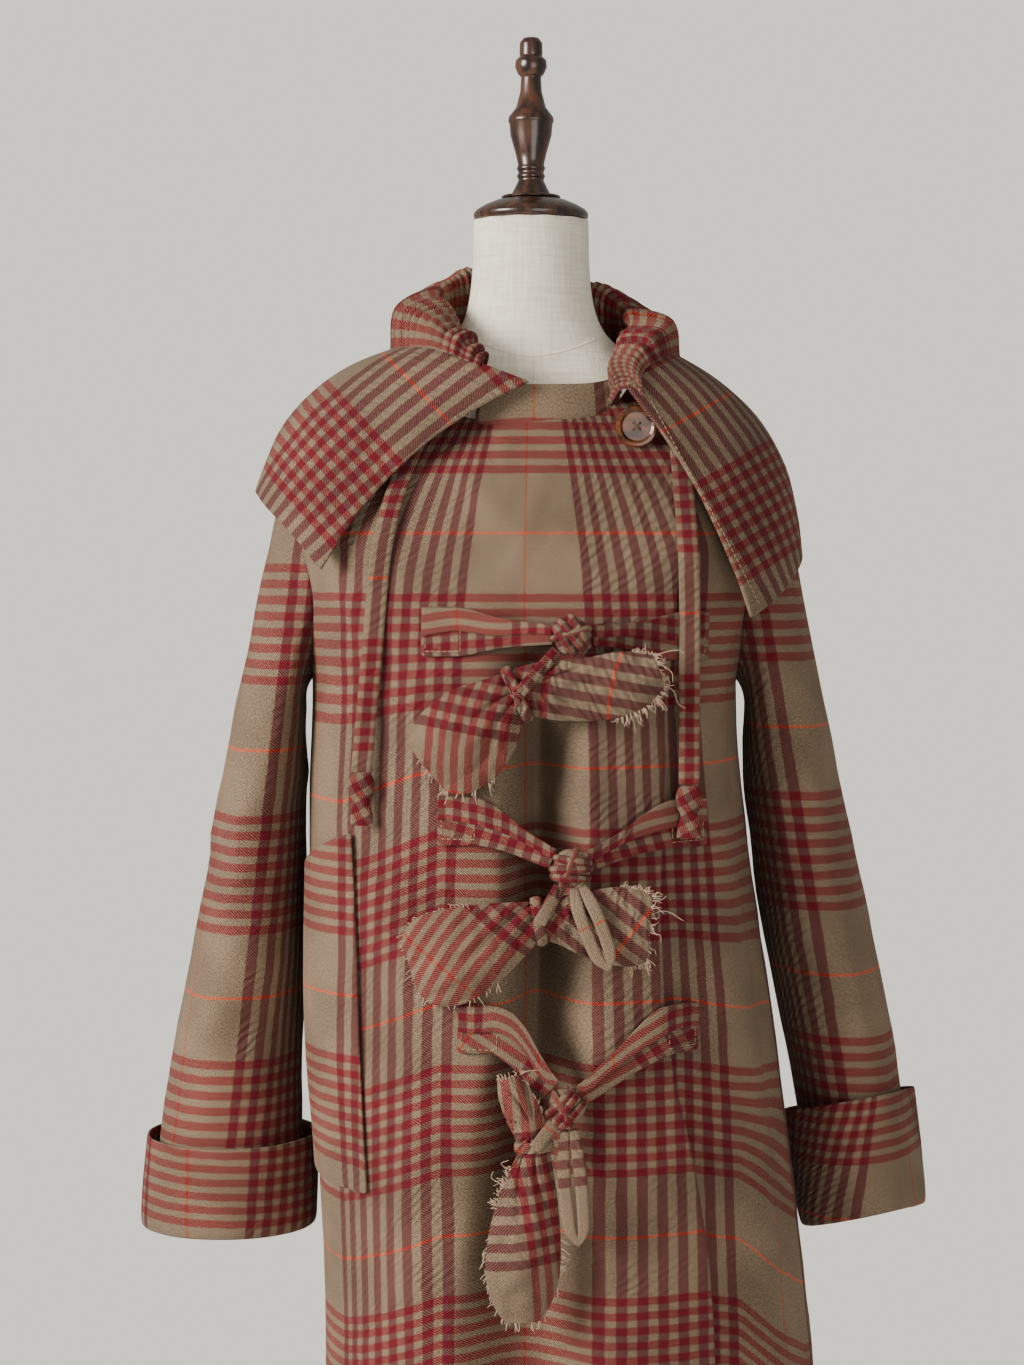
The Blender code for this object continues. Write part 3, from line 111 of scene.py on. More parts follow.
def noise(tree: bpy.types.NodeTree, vector: bpy.types.NodeSocket, scale: float, detail: float = 2.0,
          stretch: tuple[float, float, float] = (1.0, 1.0, 1.0)) -> bpy.types.NodeSocket:
    """Noise of so many features a metre, stretched by a factor along each axis."""
    place = add_node(tree, "ShaderNodeMapping", {"Vector": vector, "Scale": stretch}).outputs[0]
    made = add_node(tree, "ShaderNodeTexNoise", {"Vector": place, "Scale": scale, "Detail": detail})
    return made.outputs["Fac"]


def new_shader(name: str) -> tuple[bpy.types.Material, bpy.types.NodeTree, bpy.types.Node]:
    """A material with its tree and its Principled shader."""
    made = bpy.data.materials.new(name)
    made.use_nodes = True
    return made, made.node_tree, made.node_tree.nodes["Principled BSDF"]


def set_bump(tree: bpy.types.NodeTree, shader: bpy.types.Node, height: bpy.types.NodeSocket,
             strength: float = 1.0) -> None:
    """Give the shader a relief whose height is in metres."""
    bump = add_node(tree, "ShaderNodeBump", {"Height": height, "Distance": 1.0, "Strength": strength})
    tree.links.new(bump.outputs[0], shader.inputs["Normal"])


# ---------------------------------------------------------------- finishes
@dataclass(frozen=True)
class Stripes:
    """One thread direction of the check: a group of stripes, and a thin line between two groups."""

    repeat: float
    pitch: float
    red: float
    count: int
    line: float

    def group(self) -> float:
        """Width of the stripe group."""
        return self.pitch * (self.count - 1) + self.red

    def masks(self, tree: bpy.types.NodeTree, place: bpy.types.NodeSocket) -> tuple:
        """Draw the stripes along one coordinate.

        The place is wrapped into one repeat, measured from the thin line. A stripe shows where the place
        inside the group, wrapped into one pitch, is less than the red width.

        Args:
            tree: the node tree.
            place: metres across the stripes.

        Returns:
            Masks of the red stripes, the thin line and the whole group.
        """
        start = (self.repeat - self.group()) / 2
        wrapped = maths(tree, "WRAP", place, self.repeat - 0.02, -0.02)
        inside = maths(tree, "SUBTRACT", wrapped, start)
        step = maths(tree, "FLOORED_MODULO", inside, self.pitch)
        off = maths(tree, "ABSOLUTE", maths(tree, "SUBTRACT", step, self.red / 2))
        stripe = ramp(tree, off, self.red / 2 - 0.0006, self.red / 2 + 0.0006, 1.0, 0.0)
        middle = maths(tree, "ABSOLUTE", maths(tree, "SUBTRACT", wrapped, self.repeat / 2))
        group = ramp(tree, middle, self.group() / 2, self.group() / 2 + 0.0008, 1.0, 0.0)
        beside = maths(tree, "ABSOLUTE", wrapped)
        line = ramp(tree, beside, self.line / 2 - 0.0003, self.line / 2 + 0.0005, 1.0, 0.0)
        return maths(tree, "MULTIPLY", stripe, group), line, group


@dataclass(frozen=True)
class BrushedTwill:
    """Brushed wool twill, woven in a check: matt, with a soft nap and small diagonal puckers."""

    name: str = "brushed wool twill"
    ground_warp: str = "#867461"
    ground_weft: str = "#72614E"
    red_warp: str = "#50031E"
    red_weft: str = "#6E0719"
    line_warp: str = "#B0401A"
    line_weft: str = "#D24012"
    nap: str = "#A59683"
    stain: float = 0.34
    warp: Stripes = Stripes(0.2155, 0.0150, 0.0082, 8, 0.0022)
    weft: Stripes = Stripes(0.1993, 0.0127, 0.0072, 8, 0.0022)
    twill: float = 0.0022   # real wales are 1.2 mm apart, too fine to show
    pucker: float = 0.0078
    roughness: float = 0.93
    sheen: float = 0.08

    def make(self) -> bpy.types.Material:
        """Weave the material.

        A twill line lies where u plus v is a whole number of wales. The warp's colour shows on it and the
        weft's between two of them, so a crossing of two reds is deep and a single red is half mixed. The
        brushed red spreads over the other thread by the stain's share.
        """
        made, tree, shader = new_shader(self.name)
        cloth = add_node(tree, "ShaderNodeUVMap", uv_map="cloth").outputs[0]
        wander = noise(tree, cloth, 70.0)
        split = add_node(tree, "ShaderNodeSeparateXYZ", {0: cloth})
        shift = maths(tree, "MULTIPLY", maths(tree, "SUBTRACT", wander, 0.5), 0.0022)
        across = maths(tree, "ADD", split.outputs[0], shift)
        along = maths(tree, "ADD", split.outputs[1], shift)
        red_u, line_u, group_u = self.warp.masks(tree, across)
        red_v, line_v, group_v = self.weft.masks(tree, along)
        phase = maths(tree, "MULTIPLY", maths(tree, "ADD", across, along), 2 * math.pi / self.twill)
        wale = maths(tree, "SINE", phase)
        fibre = noise(tree, cloth, 720.0, 4.0)
        top = ramp(tree, maths(tree, "ADD", wale, maths(tree, "MULTIPLY", fibre, 1.2)), 0.0, 1.6)
        lean = maths(tree, "MULTIPLY", maths(tree, "SUBTRACT", red_u, red_v), self.stain)
        top = maths(tree, "MINIMUM", maths(tree, "MAXIMUM", maths(tree, "ADD", top, lean), 0.0), 1.0)
        warp = blend_colours(tree, red_u, linear(self.ground_warp), linear(self.red_warp))
        warp = blend_colours(tree, line_u, warp, linear(self.line_warp))
        weft = blend_colours(tree, red_v, linear(self.ground_weft), linear(self.red_weft))
        weft = blend_colours(tree, line_v, weft, linear(self.line_weft))
        colour = blend_colours(tree, top, weft, warp)
        hairs = ramp(tree, noise(tree, cloth, 900.0, 4.0, (1.0, 2.2, 1.0)), 0.54, 0.78, 0.0, 0.26)
        colour = blend_colours(tree, hairs, colour, linear(self.nap))
        worn = ramp(tree, noise(tree, cloth, 14.0, 4.0), 0.3, 0.7, 0.80, 1.12)
        speck = ramp(tree, fibre, 0.3, 0.75, 0.62, 1.32)
        tone = maths(tree, "MULTIPLY", worn, speck)
        grey = add_node(tree, "ShaderNodeCombineColor", {0: tone, 1: tone, 2: tone}).outputs[0]
        colour = blend_colours(tree, 1.0, colour, grey, "MULTIPLY")
        tree.links.new(colour, shader.inputs["Base Color"])
        slant = maths(tree, "SUBTRACT", maths(tree, "MULTIPLY", across, 0.7), maths(tree, "MULTIPLY", along, 0.9))
        bent = maths(tree, "ADD", slant, maths(tree, "MULTIPLY", wander, 0.010))
        wave = maths(tree, "SINE", maths(tree, "MULTIPLY", bent, 2 * math.pi / self.pucker))
        plain = maths(tree, "SUBTRACT", 1.0, maths(tree, "MULTIPLY", group_v, 0.55))
        zone = maths(tree, "MULTIPLY", group_u, plain)
        patchy = ramp(tree, noise(tree, cloth, 45.0), 0.35, 0.65, 0.25, 1.0)
        deep = maths(tree, "MULTIPLY", patchy, 0.00055)
        puckers = maths(tree, "MULTIPLY", maths(tree, "MULTIPLY", wave, zone), deep)
        weave = maths(tree, "MULTIPLY", wale, 0.00008)
        fuzz = maths(tree, "MULTIPLY", fibre, 0.00055)
        height = maths(tree, "ADD", puckers, maths(tree, "ADD", weave, fuzz))
        set_bump(tree, shader, height)
        shader.inputs["Roughness"].default_value = self.roughness
        shader.inputs["Sheen Weight"].default_value = self.sheen
        shader.inputs["Sheen Roughness"].default_value = 0.55
        shader.inputs["Sheen Tint"].default_value = linear("#E8D8C4")
        shader.inputs["Specular IOR Level"].default_value = 0.2
        return made


@dataclass(frozen=True)
class FormLinen:
    """Unbleached linen stretched over the form: a flat plain weave with thicker threads here and there."""

    name: str = "stretched linen"
    light: str = "#FBF5E6"
    dark: str = "#EAE1CD"
    thread: float = 0.0016   # real threads are 0.6 mm apart, too fine to show

    def make(self) -> bpy.types.Material:
        """A weave of two sines, crossed by long slubs, over a faint mottling."""
        made, tree, shader = new_shader(self.name)
        place = add_node(tree, "ShaderNodeTexCoord").outputs["Object"]
        split = add_node(tree, "ShaderNodeSeparateXYZ", {0: place})
        turn = 2 * math.pi / self.thread
        over = maths(tree, "SINE", maths(tree, "MULTIPLY", split.outputs[0], turn))
        under = maths(tree, "SINE", maths(tree, "MULTIPLY", split.outputs[2], turn))
        weave = maths(tree, "MULTIPLY", over, under)
        slub = noise(tree, place, 260.0, 3.0, (0.12, 0.12, 1.6))
        slub_up = noise(tree, place, 260.0, 3.0, (1.6, 1.6, 0.12))
        threads = maths(tree, "ADD", slub, slub_up)
        share = ramp(tree, threads, 0.75, 1.3)
        colour = blend_colours(tree, share, linear(self.light), linear(self.dark))
        mottle = ramp(tree, noise(tree, place, 9.0, 3.0), 0.3, 0.7, 0.94, 1.03)
        grey = add_node(tree, "ShaderNodeCombineColor", {0: mottle, 1: mottle, 2: mottle}).outputs[0]
        tree.links.new(blend_colours(tree, 1.0, colour, grey, "MULTIPLY"), shader.inputs["Base Color"])
        fine = maths(tree, "MULTIPLY", weave, 0.00004)
        height = maths(tree, "ADD", fine, maths(tree, "MULTIPLY", threads, 0.00035))
        set_bump(tree, shader, height)
        shader.inputs["Roughness"].default_value = 0.88
        shader.inputs["Sheen Weight"].default_value = 0.10
        shader.inputs["Specular IOR Level"].default_value = 0.25
        return made


@dataclass(frozen=True)
class PolishedWalnut:
    """Turned walnut, stained dark and polished: long grain down the axis and a clear hard gloss."""

    name: str = "polished walnut"
    dark: str = "#1E110C"
    light: str = "#55301C"

    def make(self) -> bpy.types.Material:
        """Grain is noise drawn out twelve times along the axis, with pores in the darker part."""
        made, tree, shader = new_shader(self.name)
        place = add_node(tree, "ShaderNodeTexCoord").outputs["Object"]
        grain = noise(tree, place, 150.0, 5.0, (1.0, 1.0, 0.08))
        pores = noise(tree, place, 900.0, 2.0, (1.0, 1.0, 0.06))
        colour = blend_colours(tree, ramp(tree, grain, 0.35, 0.72), linear(self.dark), linear(self.light))
        colour = blend_colours(tree, ramp(tree, pores, 0.58, 0.72, 0.0, 0.6), colour, linear("#120A07"))
        tree.links.new(colour, shader.inputs["Base Color"])
        tree.links.new(ramp(tree, grain, 0.3, 0.8, 0.26, 0.40), shader.inputs["Roughness"])
        set_bump(tree, shader, maths(tree, "MULTIPLY", pores, -0.00006))
        shader.inputs["Coat Weight"].default_value = 0.5
        shader.inputs["Coat Roughness"].default_value = 0.16
        return made


@dataclass(frozen=True)
class BuffaloHorn:
    """Polished horn: brown with darker clouds drawn out one way, and a wet gloss."""

    name: str = "polished horn"
    dark: str = "#2A130A"
    light: str = "#6A3A1E"

    def make(self) -> bpy.types.Material:
        """Clouds are noise drawn out three times across the button."""
        made, tree, shader = new_shader(self.name)
        place = add_node(tree, "ShaderNodeTexCoord").outputs["Object"]
        cloud = noise(tree, place, 130.0, 4.0, (0.35, 1.0, 1.0))
        colour = blend_colours(tree, ramp(tree, cloud, 0.34, 0.66), linear(self.dark), linear(self.light))
        tree.links.new(colour, shader.inputs["Base Color"])
        shader.inputs["Roughness"].default_value = 0.24
        shader.inputs["Coat Weight"].default_value = 0.35
        shader.inputs["Coat Roughness"].default_value = 0.12
        set_bump(tree, shader, maths(tree, "MULTIPLY", cloud, 0.00008))
        return made


@dataclass(frozen=True)
class SpunThread:
    """Spun thread: a twisted matt yarn."""

    name: str
    colour: str

    def make(self) -> bpy.types.Material:
        """Colour varied by a fine noise along the yarn."""
        made, tree, shader = new_shader(self.name)
        place = add_node(tree, "ShaderNodeTexCoord").outputs["Object"]
        share = ramp(tree, noise(tree, place, 900.0, 2.0), 0.3, 0.7, 0.75, 1.15)
        grey = add_node(tree, "ShaderNodeCombineColor", {0: share, 1: share, 2: share}).outputs[0]
        colour = blend_colours(tree, 1.0, linear(self.colour), grey, "MULTIPLY")
        tree.links.new(colour, shader.inputs["Base Color"])
        shader.inputs["Roughness"].default_value = 0.85
        return made


@dataclass(frozen=True)
class PaintedFloor:
    """Pale matt paint for the floor."""

    name: str = "pale floor paint"
    colour: str = "#F0EDE6"

    def make(self) -> bpy.types.Material:
        """A matt paint with a barely uneven tone."""
        made, tree, shader = new_shader(self.name)
        place = add_node(tree, "ShaderNodeTexCoord").outputs["Object"]
        share = ramp(tree, noise(tree, place, 1.5, 2.0), 0.3, 0.7, 0.97, 1.02)
        grey = add_node(tree, "ShaderNodeCombineColor", {0: share, 1: share, 2: share}).outputs[0]
        colour = blend_colours(tree, 1.0, linear(self.colour), grey, "MULTIPLY")
        tree.links.new(colour, shader.inputs["Base Color"])
        shader.inputs["Roughness"].default_value = 0.9
        return made


class Slot(Enum):
    """The record's material slots."""

    WOOL = "plaid_wool"
    LINEN = "form_linen"
    WALNUT = "walnut"
    HORN = "horn_button"


# ---------------------------------------------------------------- numbers
def smooth_step(value: np.ndarray, low: float, high: float) -> np.ndarray:
    """0 below low, 1 above high, with level ends between."""
    t = np.clip((np.asarray(value, float) - low) / (high - low), 0.0, 1.0)
    return t * t * (3.0 - 2.0 * t)


def unit(vectors: np.ndarray) -> np.ndarray:
    """Vectors scaled to length 1."""
    return vectors / np.maximum(np.linalg.norm(vectors, axis=-1, keepdims=True), 1e-12)


def through(points: np.ndarray, count: int) -> np.ndarray:
    """A smooth curve through points, evenly divided.

    Args:
        points: the points, in order.
        count: how many points the curve gets.

    Returns:
        Points of the cubic whose slope at each given point is the mean of its neighbours'.
    """
    points = np.asarray(points, float)
    keys = np.arange(len(points), dtype=float)
    slopes = np.gradient(points, axis=0)
    at = np.linspace(0.0, len(points) - 1.0, count)
    place = np.clip(at.astype(int), 0, len(points) - 2)
    t = (at - keys[place])[:, None]
    first, last = points[place], points[place + 1]
    return ((2 * t**3 - 3 * t**2 + 1) * first + (t**3 - 2 * t**2 + t) * slopes[place]
            + (3 * t**2 - 2 * t**3) * last + (t**3 - t**2) * slopes[place + 1])


def spline(keys: np.ndarray, values: np.ndarray, at: np.ndarray) -> np.ndarray:
    """Values at places between keys, on cubics whose slopes are the mean of their neighbours'.

    Args:
        keys: ascending places.
        values: a row for each key.
        at: the places asked for.

    Returns:
        A row for each place.
    """
    slopes = np.gradient(values, keys, axis=0)
    low = np.clip(np.searchsorted(keys, at, side="right") - 1, 0, len(keys) - 2)
    span = (keys[low + 1] - keys[low])[:, None]
    t = ((at - keys[low]) / span[:, 0])[:, None]
    return ((2 * t**3 - 3 * t**2 + 1) * values[low] + (t**3 - 2 * t**2 + t) * slopes[low] * span
            + (3 * t**2 - 2 * t**3) * values[low + 1] + (t**3 - t**2) * slopes[low + 1] * span)


def rumple(points: np.ndarray, size: float, seed: int) -> np.ndarray:
    """Soft uneven relief between -1 and 1.

    The sum of nine plane sine waves whose directions, lengths near size and phases come from a seeded
    generator, each weighted by its length.

    Args:
        points: places in metres.
        size: the mean wave length.
        seed: the generator's seed.

    Returns:
        One height for each point.
    """
    chance = np.random.default_rng(seed)
    ways = unit(chance.normal(size=(9, 3)))
    lengths = size * chance.uniform(0.6, 1.7, 9)
    phases = chance.uniform(0, 2 * math.pi, 9)
    waves = np.sin(points @ ways.T * (2 * math.pi / lengths) + phases)
    return waves @ (lengths / lengths.sum())


# ---------------------------------------------------------------- meshes
def new_piece(name: str, points: np.ndarray, faces: np.ndarray, finish: bpy.types.Material,
              smooth: bool = True) -> bpy.types.Object:
    """Make a named piece that rides on the part.

    Args:
        name: the piece's name.
        points: its vertices.
        faces: its faces as rows of vertex numbers.
        finish: its material.
        smooth: whether it is shaded smooth.

    Returns:
        The object, at the origin.
    """
    mesh = bpy.data.meshes.new(name)
    mesh.from_pydata(np.asarray(points).tolist(), [], np.asarray(faces).tolist())
    mesh.materials.append(finish)
    mesh.shade_smooth() if smooth else mesh.shade_flat()
    made = bpy.data.objects.new(name, mesh)
    bpy.context.scene.collection.objects.link(made)
    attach(made, ROOT)
    return made


def tube_grid(path: np.ndarray, radius: np.ndarray | float, sides: int) -> tuple[np.ndarray, np.ndarray]:
    """A closed round tube along a path.

    A ring of the radius is carried along the path, square to it, and each end is drawn in to a point.

    Args:
        path: points of the centre line.
        radius: the radius, or one for each point.
        sides: points round the tube.

    Returns:
        Vertices and quad faces.
    """
    radii = np.broadcast_to(np.asarray(radius, float), (len(path),)).copy()
    along = unit(np.gradient(path, axis=0))
    guide = np.array([0.31, 0.87, 0.38])
    side = unit(np.cross(along, guide))
    other = np.cross(along, side)
    angles = np.linspace(0, 2 * math.pi, sides, endpoint=False)
    rings = (path[:, None] + side[:, None] * (radii[:, None] * np.cos(angles))[..., None]
             + other[:, None] * (radii[:, None] * np.sin(angles))[..., None])
    rows, columns = np.meshgrid(np.arange(len(path) - 1), np.arange(sides), indexing="ij")
    after = (columns + 1) % sides
    quads = np.stack([rows * sides + columns, (rows + 1) * sides + columns,
                      (rows + 1) * sides + after, rows * sides + after], axis=-1).reshape(-1, 4)
    points = np.vstack([rings.reshape(-1, 3), path[0], path[-1]])
    tip, tail = len(points) - 2, len(points) - 1
    around = np.arange(sides)
    last = (len(path) - 1) * sides
    fans = [[tip, around[i], around[(i + 1) % sides]] for i in range(sides)]
    fans += [[tail, last + around[(i + 1) % sides], last + around[i]] for i in range(sides)]
    return points, quads, np.array(fans)


def join_grids(grids: list[tuple]) -> tuple[np.ndarray, list]:
    """Put several (points, quads, triangles) together.

    Args:
        grids: the parts.

    Returns:
        All the points, and all the faces renumbered.
    """
    points, faces, start = [], [], 0
    for verts, quads, triangles in grids:
        points.append(verts)
        faces += (quads + start).tolist() + (triangles + start).tolist()
        start += len(verts)
    return np.vstack(points), faces


def face_mesh(name: str, points: np.ndarray, faces: list, finish: bpy.types.Material,
              slot: Slot | None = None) -> bpy.types.Object:
    """A piece from points and faces of mixed size, with its normals turned out."""
    mesh = bpy.data.meshes.new(name)
    mesh.from_pydata(points.tolist(), [], faces)
    shell = bmesh.new()
    shell.from_mesh(mesh)
    bmesh.ops.recalc_face_normals(shell, faces=shell.faces)
    shell.to_mesh(mesh)
    shell.free()
    mesh.materials.append(finish)
    mesh.shade_smooth()
    made = bpy.data.objects.new(name, mesh)
    bpy.context.scene.collection.objects.link(made)
    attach(made, ROOT)
    return made


def turned(name: str, outline: tuple, sides: int, finish: bpy.types.Material, slot: Slot) -> bpy.types.Object:
    """Turn an outline about the stand's axis.

    The outline's (radius, height) points are joined by a smooth curve where they lie close, and each is
    carried round the axis: x = r cos a, y = r sin a.

    Args:
        name: the piece's name.
        outline: (radius, height) pairs from the axis at the top to the axis at the bottom.
        sides: steps round the axis.
        finish: its material.
        slot: the record's slot; not used.

    Returns:
        The turned piece.
    """
    profile = np.array(outline)
    angles = np.linspace(0, 2 * math.pi, sides, endpoint=False)
    inner = profile[1:-1]
    rings = np.stack([inner[:, :1] * np.cos(angles), inner[:, :1] * np.sin(angles),
                      np.repeat(inner[:, 1:], sides, axis=1)], axis=-1)
    rows, columns = np.meshgrid(np.arange(len(inner) - 1), np.arange(sides), indexing="ij")
    after = (columns + 1) % sides
    quads = np.stack([rows * sides + columns, (rows + 1) * sides + columns,
                      (rows + 1) * sides + after, rows * sides + after], axis=-1).reshape(-1, 4)
    points = np.vstack([rings.reshape(-1, 3), [[0.0, 0.0, profile[0, 1]], [0.0, 0.0, profile[-1, 1]]]])
    top, bottom = len(points) - 2, len(points) - 1
    last = (len(inner) - 1) * sides
    fans = [[top, i, (i + 1) % sides] for i in range(sides)]
    fans += [[bottom, last + (i + 1) % sides, last + i] for i in range(sides)]
    made = face_mesh(name, points, quads.tolist() + fans, finish, slot)
    bevel = made.modifiers.new("softened edges", "BEVEL")
    bevel.width = 0.0008
    bevel.segments = 2
    bevel.limit_method = "ANGLE"
    bevel.angle_limit = math.radians(35)
    made.data.set_sharp_from_angle(angle=math.radians(45))
    return made


def merged_copy(node: str, levels: int, square: bool = True) -> tuple[bpy.types.Mesh, np.ndarray]:
    """Copy a solid of the frame, merge its corners, pair its triangles and smooth it.

    Args:
        node: the solid's name.
        levels: rounds of Catmull-Clark smoothing.
        square: whether pairs of triangles are joined first.

    Returns:
        The new mesh and its vertices.
    """
    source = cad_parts[node]
    shell = bmesh.new()
    shell.from_mesh(source.data)
    shell.transform(source.matrix_world)
    bmesh.ops.remove_doubles(shell, verts=shell.verts, dist=2e-6)
    if square:
        bmesh.ops.join_triangles(shell, faces=shell.faces, angle_face_threshold=math.radians(50),
                                 angle_shape_threshold=math.radians(60))
    folds = shell.edges.layers.float.new("crease_edge")
    for edge in shell.edges:
        edge[folds] = 0.7 if edge.is_manifold and edge.calc_face_angle() > math.radians(58) else 0.0
    rough = bpy.data.meshes.new(node + "_rough")
    shell.to_mesh(rough)
    shell.free()
    helper = bpy.data.objects.new(node + "_helper", rough)
    bpy.context.scene.collection.objects.link(helper)
    smoother = helper.modifiers.new("smooth", "SUBSURF")
    smoother.levels = levels
    smoother.render_levels = levels
    shown = helper.evaluated_get(bpy.context.evaluated_depsgraph_get())
    fine = bpy.data.meshes.new_from_object(shown)
    bpy.data.objects.remove(helper)
    bpy.data.meshes.remove(rough)
    points = np.empty(len(fine.vertices) * 3)
    fine.vertices.foreach_get("co", points)
    return fine, points.reshape(-1, 3)


def loop_places(mesh: bpy.types.Mesh, points: np.ndarray) -> tuple[np.ndarray, np.ndarray]:
    """Each face corner's place, and the centre of its face.

    Args:
        mesh: the mesh.
        points: its vertices.

    Returns:
        Two arrays with a row for each corner.
    """
    corner = np.empty(len(mesh.loops), dtype=int)
    mesh.loops.foreach_get("vertex_index", corner)
    totals = np.empty(len(mesh.polygons), dtype=int)
    mesh.polygons.foreach_get("loop_total", totals)
    places = points[corner]
    face = np.repeat(np.arange(len(totals)), totals)
    centres = np.zeros((len(totals), 3))
    np.add.at(centres, face, places)
    centres /= totals[:, None]
    return places, centres[face]


def unwrap(angles: np.ndarray, near: np.ndarray) -> np.ndarray:
    """Angles moved by whole turns to lie within half a turn of others."""
    return angles - np.round((angles - near) / (2 * math.pi)) * 2 * math.pi


# ---------------------------------------------------------------- how the cloth is laid
@dataclass(frozen=True)
class Lay:
    """Where the check sits on a piece: its thin lines cross at the origin of (u, v)."""

    u0: float = 0.0
    v0: float = 0.0

    def uv(self, places: np.ndarray, centres: np.ndarray) -> np.ndarray:
        """Cloth coordinates of face corners, flat in the front view."""
        return np.stack([places[:, 0] - self.u0, places[:, 2] - self.v0], axis=1)


@dataclass(frozen=True)
class BodyLay(Lay):
    """Cloth wrapped round the body: u is the length round an ellipse, v the height less the drop."""

    half_width: float = 0.200
    half_depth: float = 0.165
    behind: bool = False
    drops: tuple = ()

    def uv(self, places: np.ndarray, centres: np.ndarray) -> np.ndarray:
        """Length round the ellipse from the front or back centre line, and height less the drops."""
        turn = np.linspace(0, math.pi, 400)
        ring = np.stack([self.half_width * np.sin(turn), self.half_depth * np.cos(turn)], axis=1)
        steps = np.linalg.norm(np.diff(ring, axis=0), axis=1)
        lengths = np.concatenate([[0.0], np.cumsum(steps)])
        facing = 1.0 if self.behind else -1.0
        angles = np.arctan2(places[:, 0], facing * places[:, 1])
        seen = np.arctan2(ring[:, 0], ring[:, 1])
        around = np.sign(angles) * np.interp(np.abs(angles), seen, lengths)
        height = places[:, 2].copy()
        for drop in self.drops:
            height += drop.at(places)
        return np.stack([around - self.u0, height - self.v0], axis=1)


@dataclass(frozen=True)
class Drop:
    """Rows that fall away from a line: by a slope times the distance past x, faded in over a height."""

    start: float
    side: float
    slope: float
    most: float
    none_at: float
    full_at: float

    def at(self, places: np.ndarray) -> np.ndarray:
        """How far a row has dropped at each place."""
        past = np.clip((places[:, 0] - self.start) * self.side, 0.0, None)
        fade = smooth_step(-places[:, 2], -self.none_at, -self.full_at)
        return np.minimum(past * self.slope, self.most) * fade


@dataclass(frozen=True)
class SleeveLay(Lay):
    """Cloth wrapped round a sleeve: u is the angle about the sleeve's own line times its radius."""

    radius: float = 0.066
    stretch: float = 1.0
    lean: float = 0.0

    def uv(self, places: np.ndarray, centres: np.ndarray) -> np.ndarray:
        """Angle about a straight line fitted to the sleeve, and the height."""
        slope_x, base_x = np.polyfit(centres[:, 2], centres[:, 0], 1)
        slope_y, base_y = np.polyfit(centres[:, 2], centres[:, 1], 1)

        def turned_by(points: np.ndarray) -> np.ndarray:
            """Angle of points about the sleeve's line."""
            dx = points[:, 0] - slope_x * points[:, 2] - base_x
            dy = points[:, 1] - slope_y * points[:, 2] - base_y
            return np.arctan2(dx, -dy)

        angles = unwrap(turned_by(places), turned_by(centres))
        height = places[:, 2] * self.stretch + places[:, 0] * self.lean
        return np.stack([angles * self.radius - self.u0, height - self.v0], axis=1)


@dataclass(frozen=True)
class CollarLay(Lay):
    """Cloth of the collar: v runs down each wing's end edge, u away from it, and the back hangs straight."""

    right_way: tuple = (-0.730, -0.683)
    left_way: tuple = (0.495, -0.869)
    right_tip: tuple = (-0.003, 1.348)
    left_tip: tuple = (0.082, 1.347)
    border: float = 0.012

    def wing(self, places: np.ndarray, way: tuple, tip: tuple, line: float) -> tuple[np.ndarray, np.ndarray]:
        """Distance from a wing's end edge, and distance down it from the neck.

        Down is the front view's distance along the edge. Away is the distance square to it, with what the
        cloth gains as it turns back over the shoulder.
        """
        dx, dz = places[:, 0] - tip[0], places[:, 2] - tip[1]
        down = dx * way[0] + dz * way[1]
        square = np.abs(dx * way[1] - dz * way[0])
        away = np.hypot(square, 0.9 * (places[:, 1] + 0.13).clip(0.0)) - self.border + 0.0514
        return away, down - line

    def uv(self, places: np.ndarray, centres: np.ndarray) -> np.ndarray:
        """Each wing by its own edge, blended into a back whose rows are level."""
        away_r, down_r = self.wing(places, self.right_way, self.right_tip, 0.073)
        away_l, down_l = self.wing(places, self.left_way, self.left_tip, 0.051)
        right = centres[:, 0] < 0.01
        away = np.where(right, away_r, away_l)
        down = np.where(right, down_r, down_l)
        share = smooth_step(places[:, 1], -0.01, 0.09)
        side = np.abs(places[:, 0])
        level = 1.36 - places[:, 2] + 0.3 * side
        around = 0.36 - side
        return np.stack([away * (1 - share) + around * share, down * (1 - share) + level * share], axis=1)


@dataclass(frozen=True)
class RollLay(Lay):
    """Cloth of the neck roll: u is the angle about the neck times its radius, v the height."""

    radius: float = 0.125

    def uv(self, places: np.ndarray, centres: np.ndarray) -> np.ndarray:
        """Angle about the neck, and height plus distance from it."""
        near = np.arctan2(centres[:, 0], -centres[:, 1])
        angles = unwrap(np.arctan2(places[:, 0], -places[:, 1]), near)
        out = np.hypot(places[:, 0], places[:, 1])
        return np.stack([angles * self.radius - self.u0, places[:, 2] + out - self.v0], axis=1)


@dataclass(frozen=True)
class BandLay(Lay):
    """Cloth of a narrow piece: u along its longest way in the front view, v across it, turned by an angle."""

    turn: float = 0.0

    def uv(self, places: np.ndarray, centres: np.ndarray) -> np.ndarray:
        """Places along the two main directions of the piece as seen from the front."""
        flat = places[:, [0, 2]] - centres[:, [0, 2]].mean(axis=0)
        _, _, ways = np.linalg.svd(flat[::7], full_matrices=False)
        first = ways[0] * np.sign(ways[0][0] + 1e-9)
        second = np.array([-first[1], first[0]])
        angle = math.radians(self.turn)
        along = flat @ (first * math.cos(angle) + second * math.sin(angle))
        across = flat @ (second * math.cos(angle) - first * math.sin(angle))
        across = across + places[:, 1] * 0.35
        return np.stack([along - self.u0, across - self.v0], axis=1)


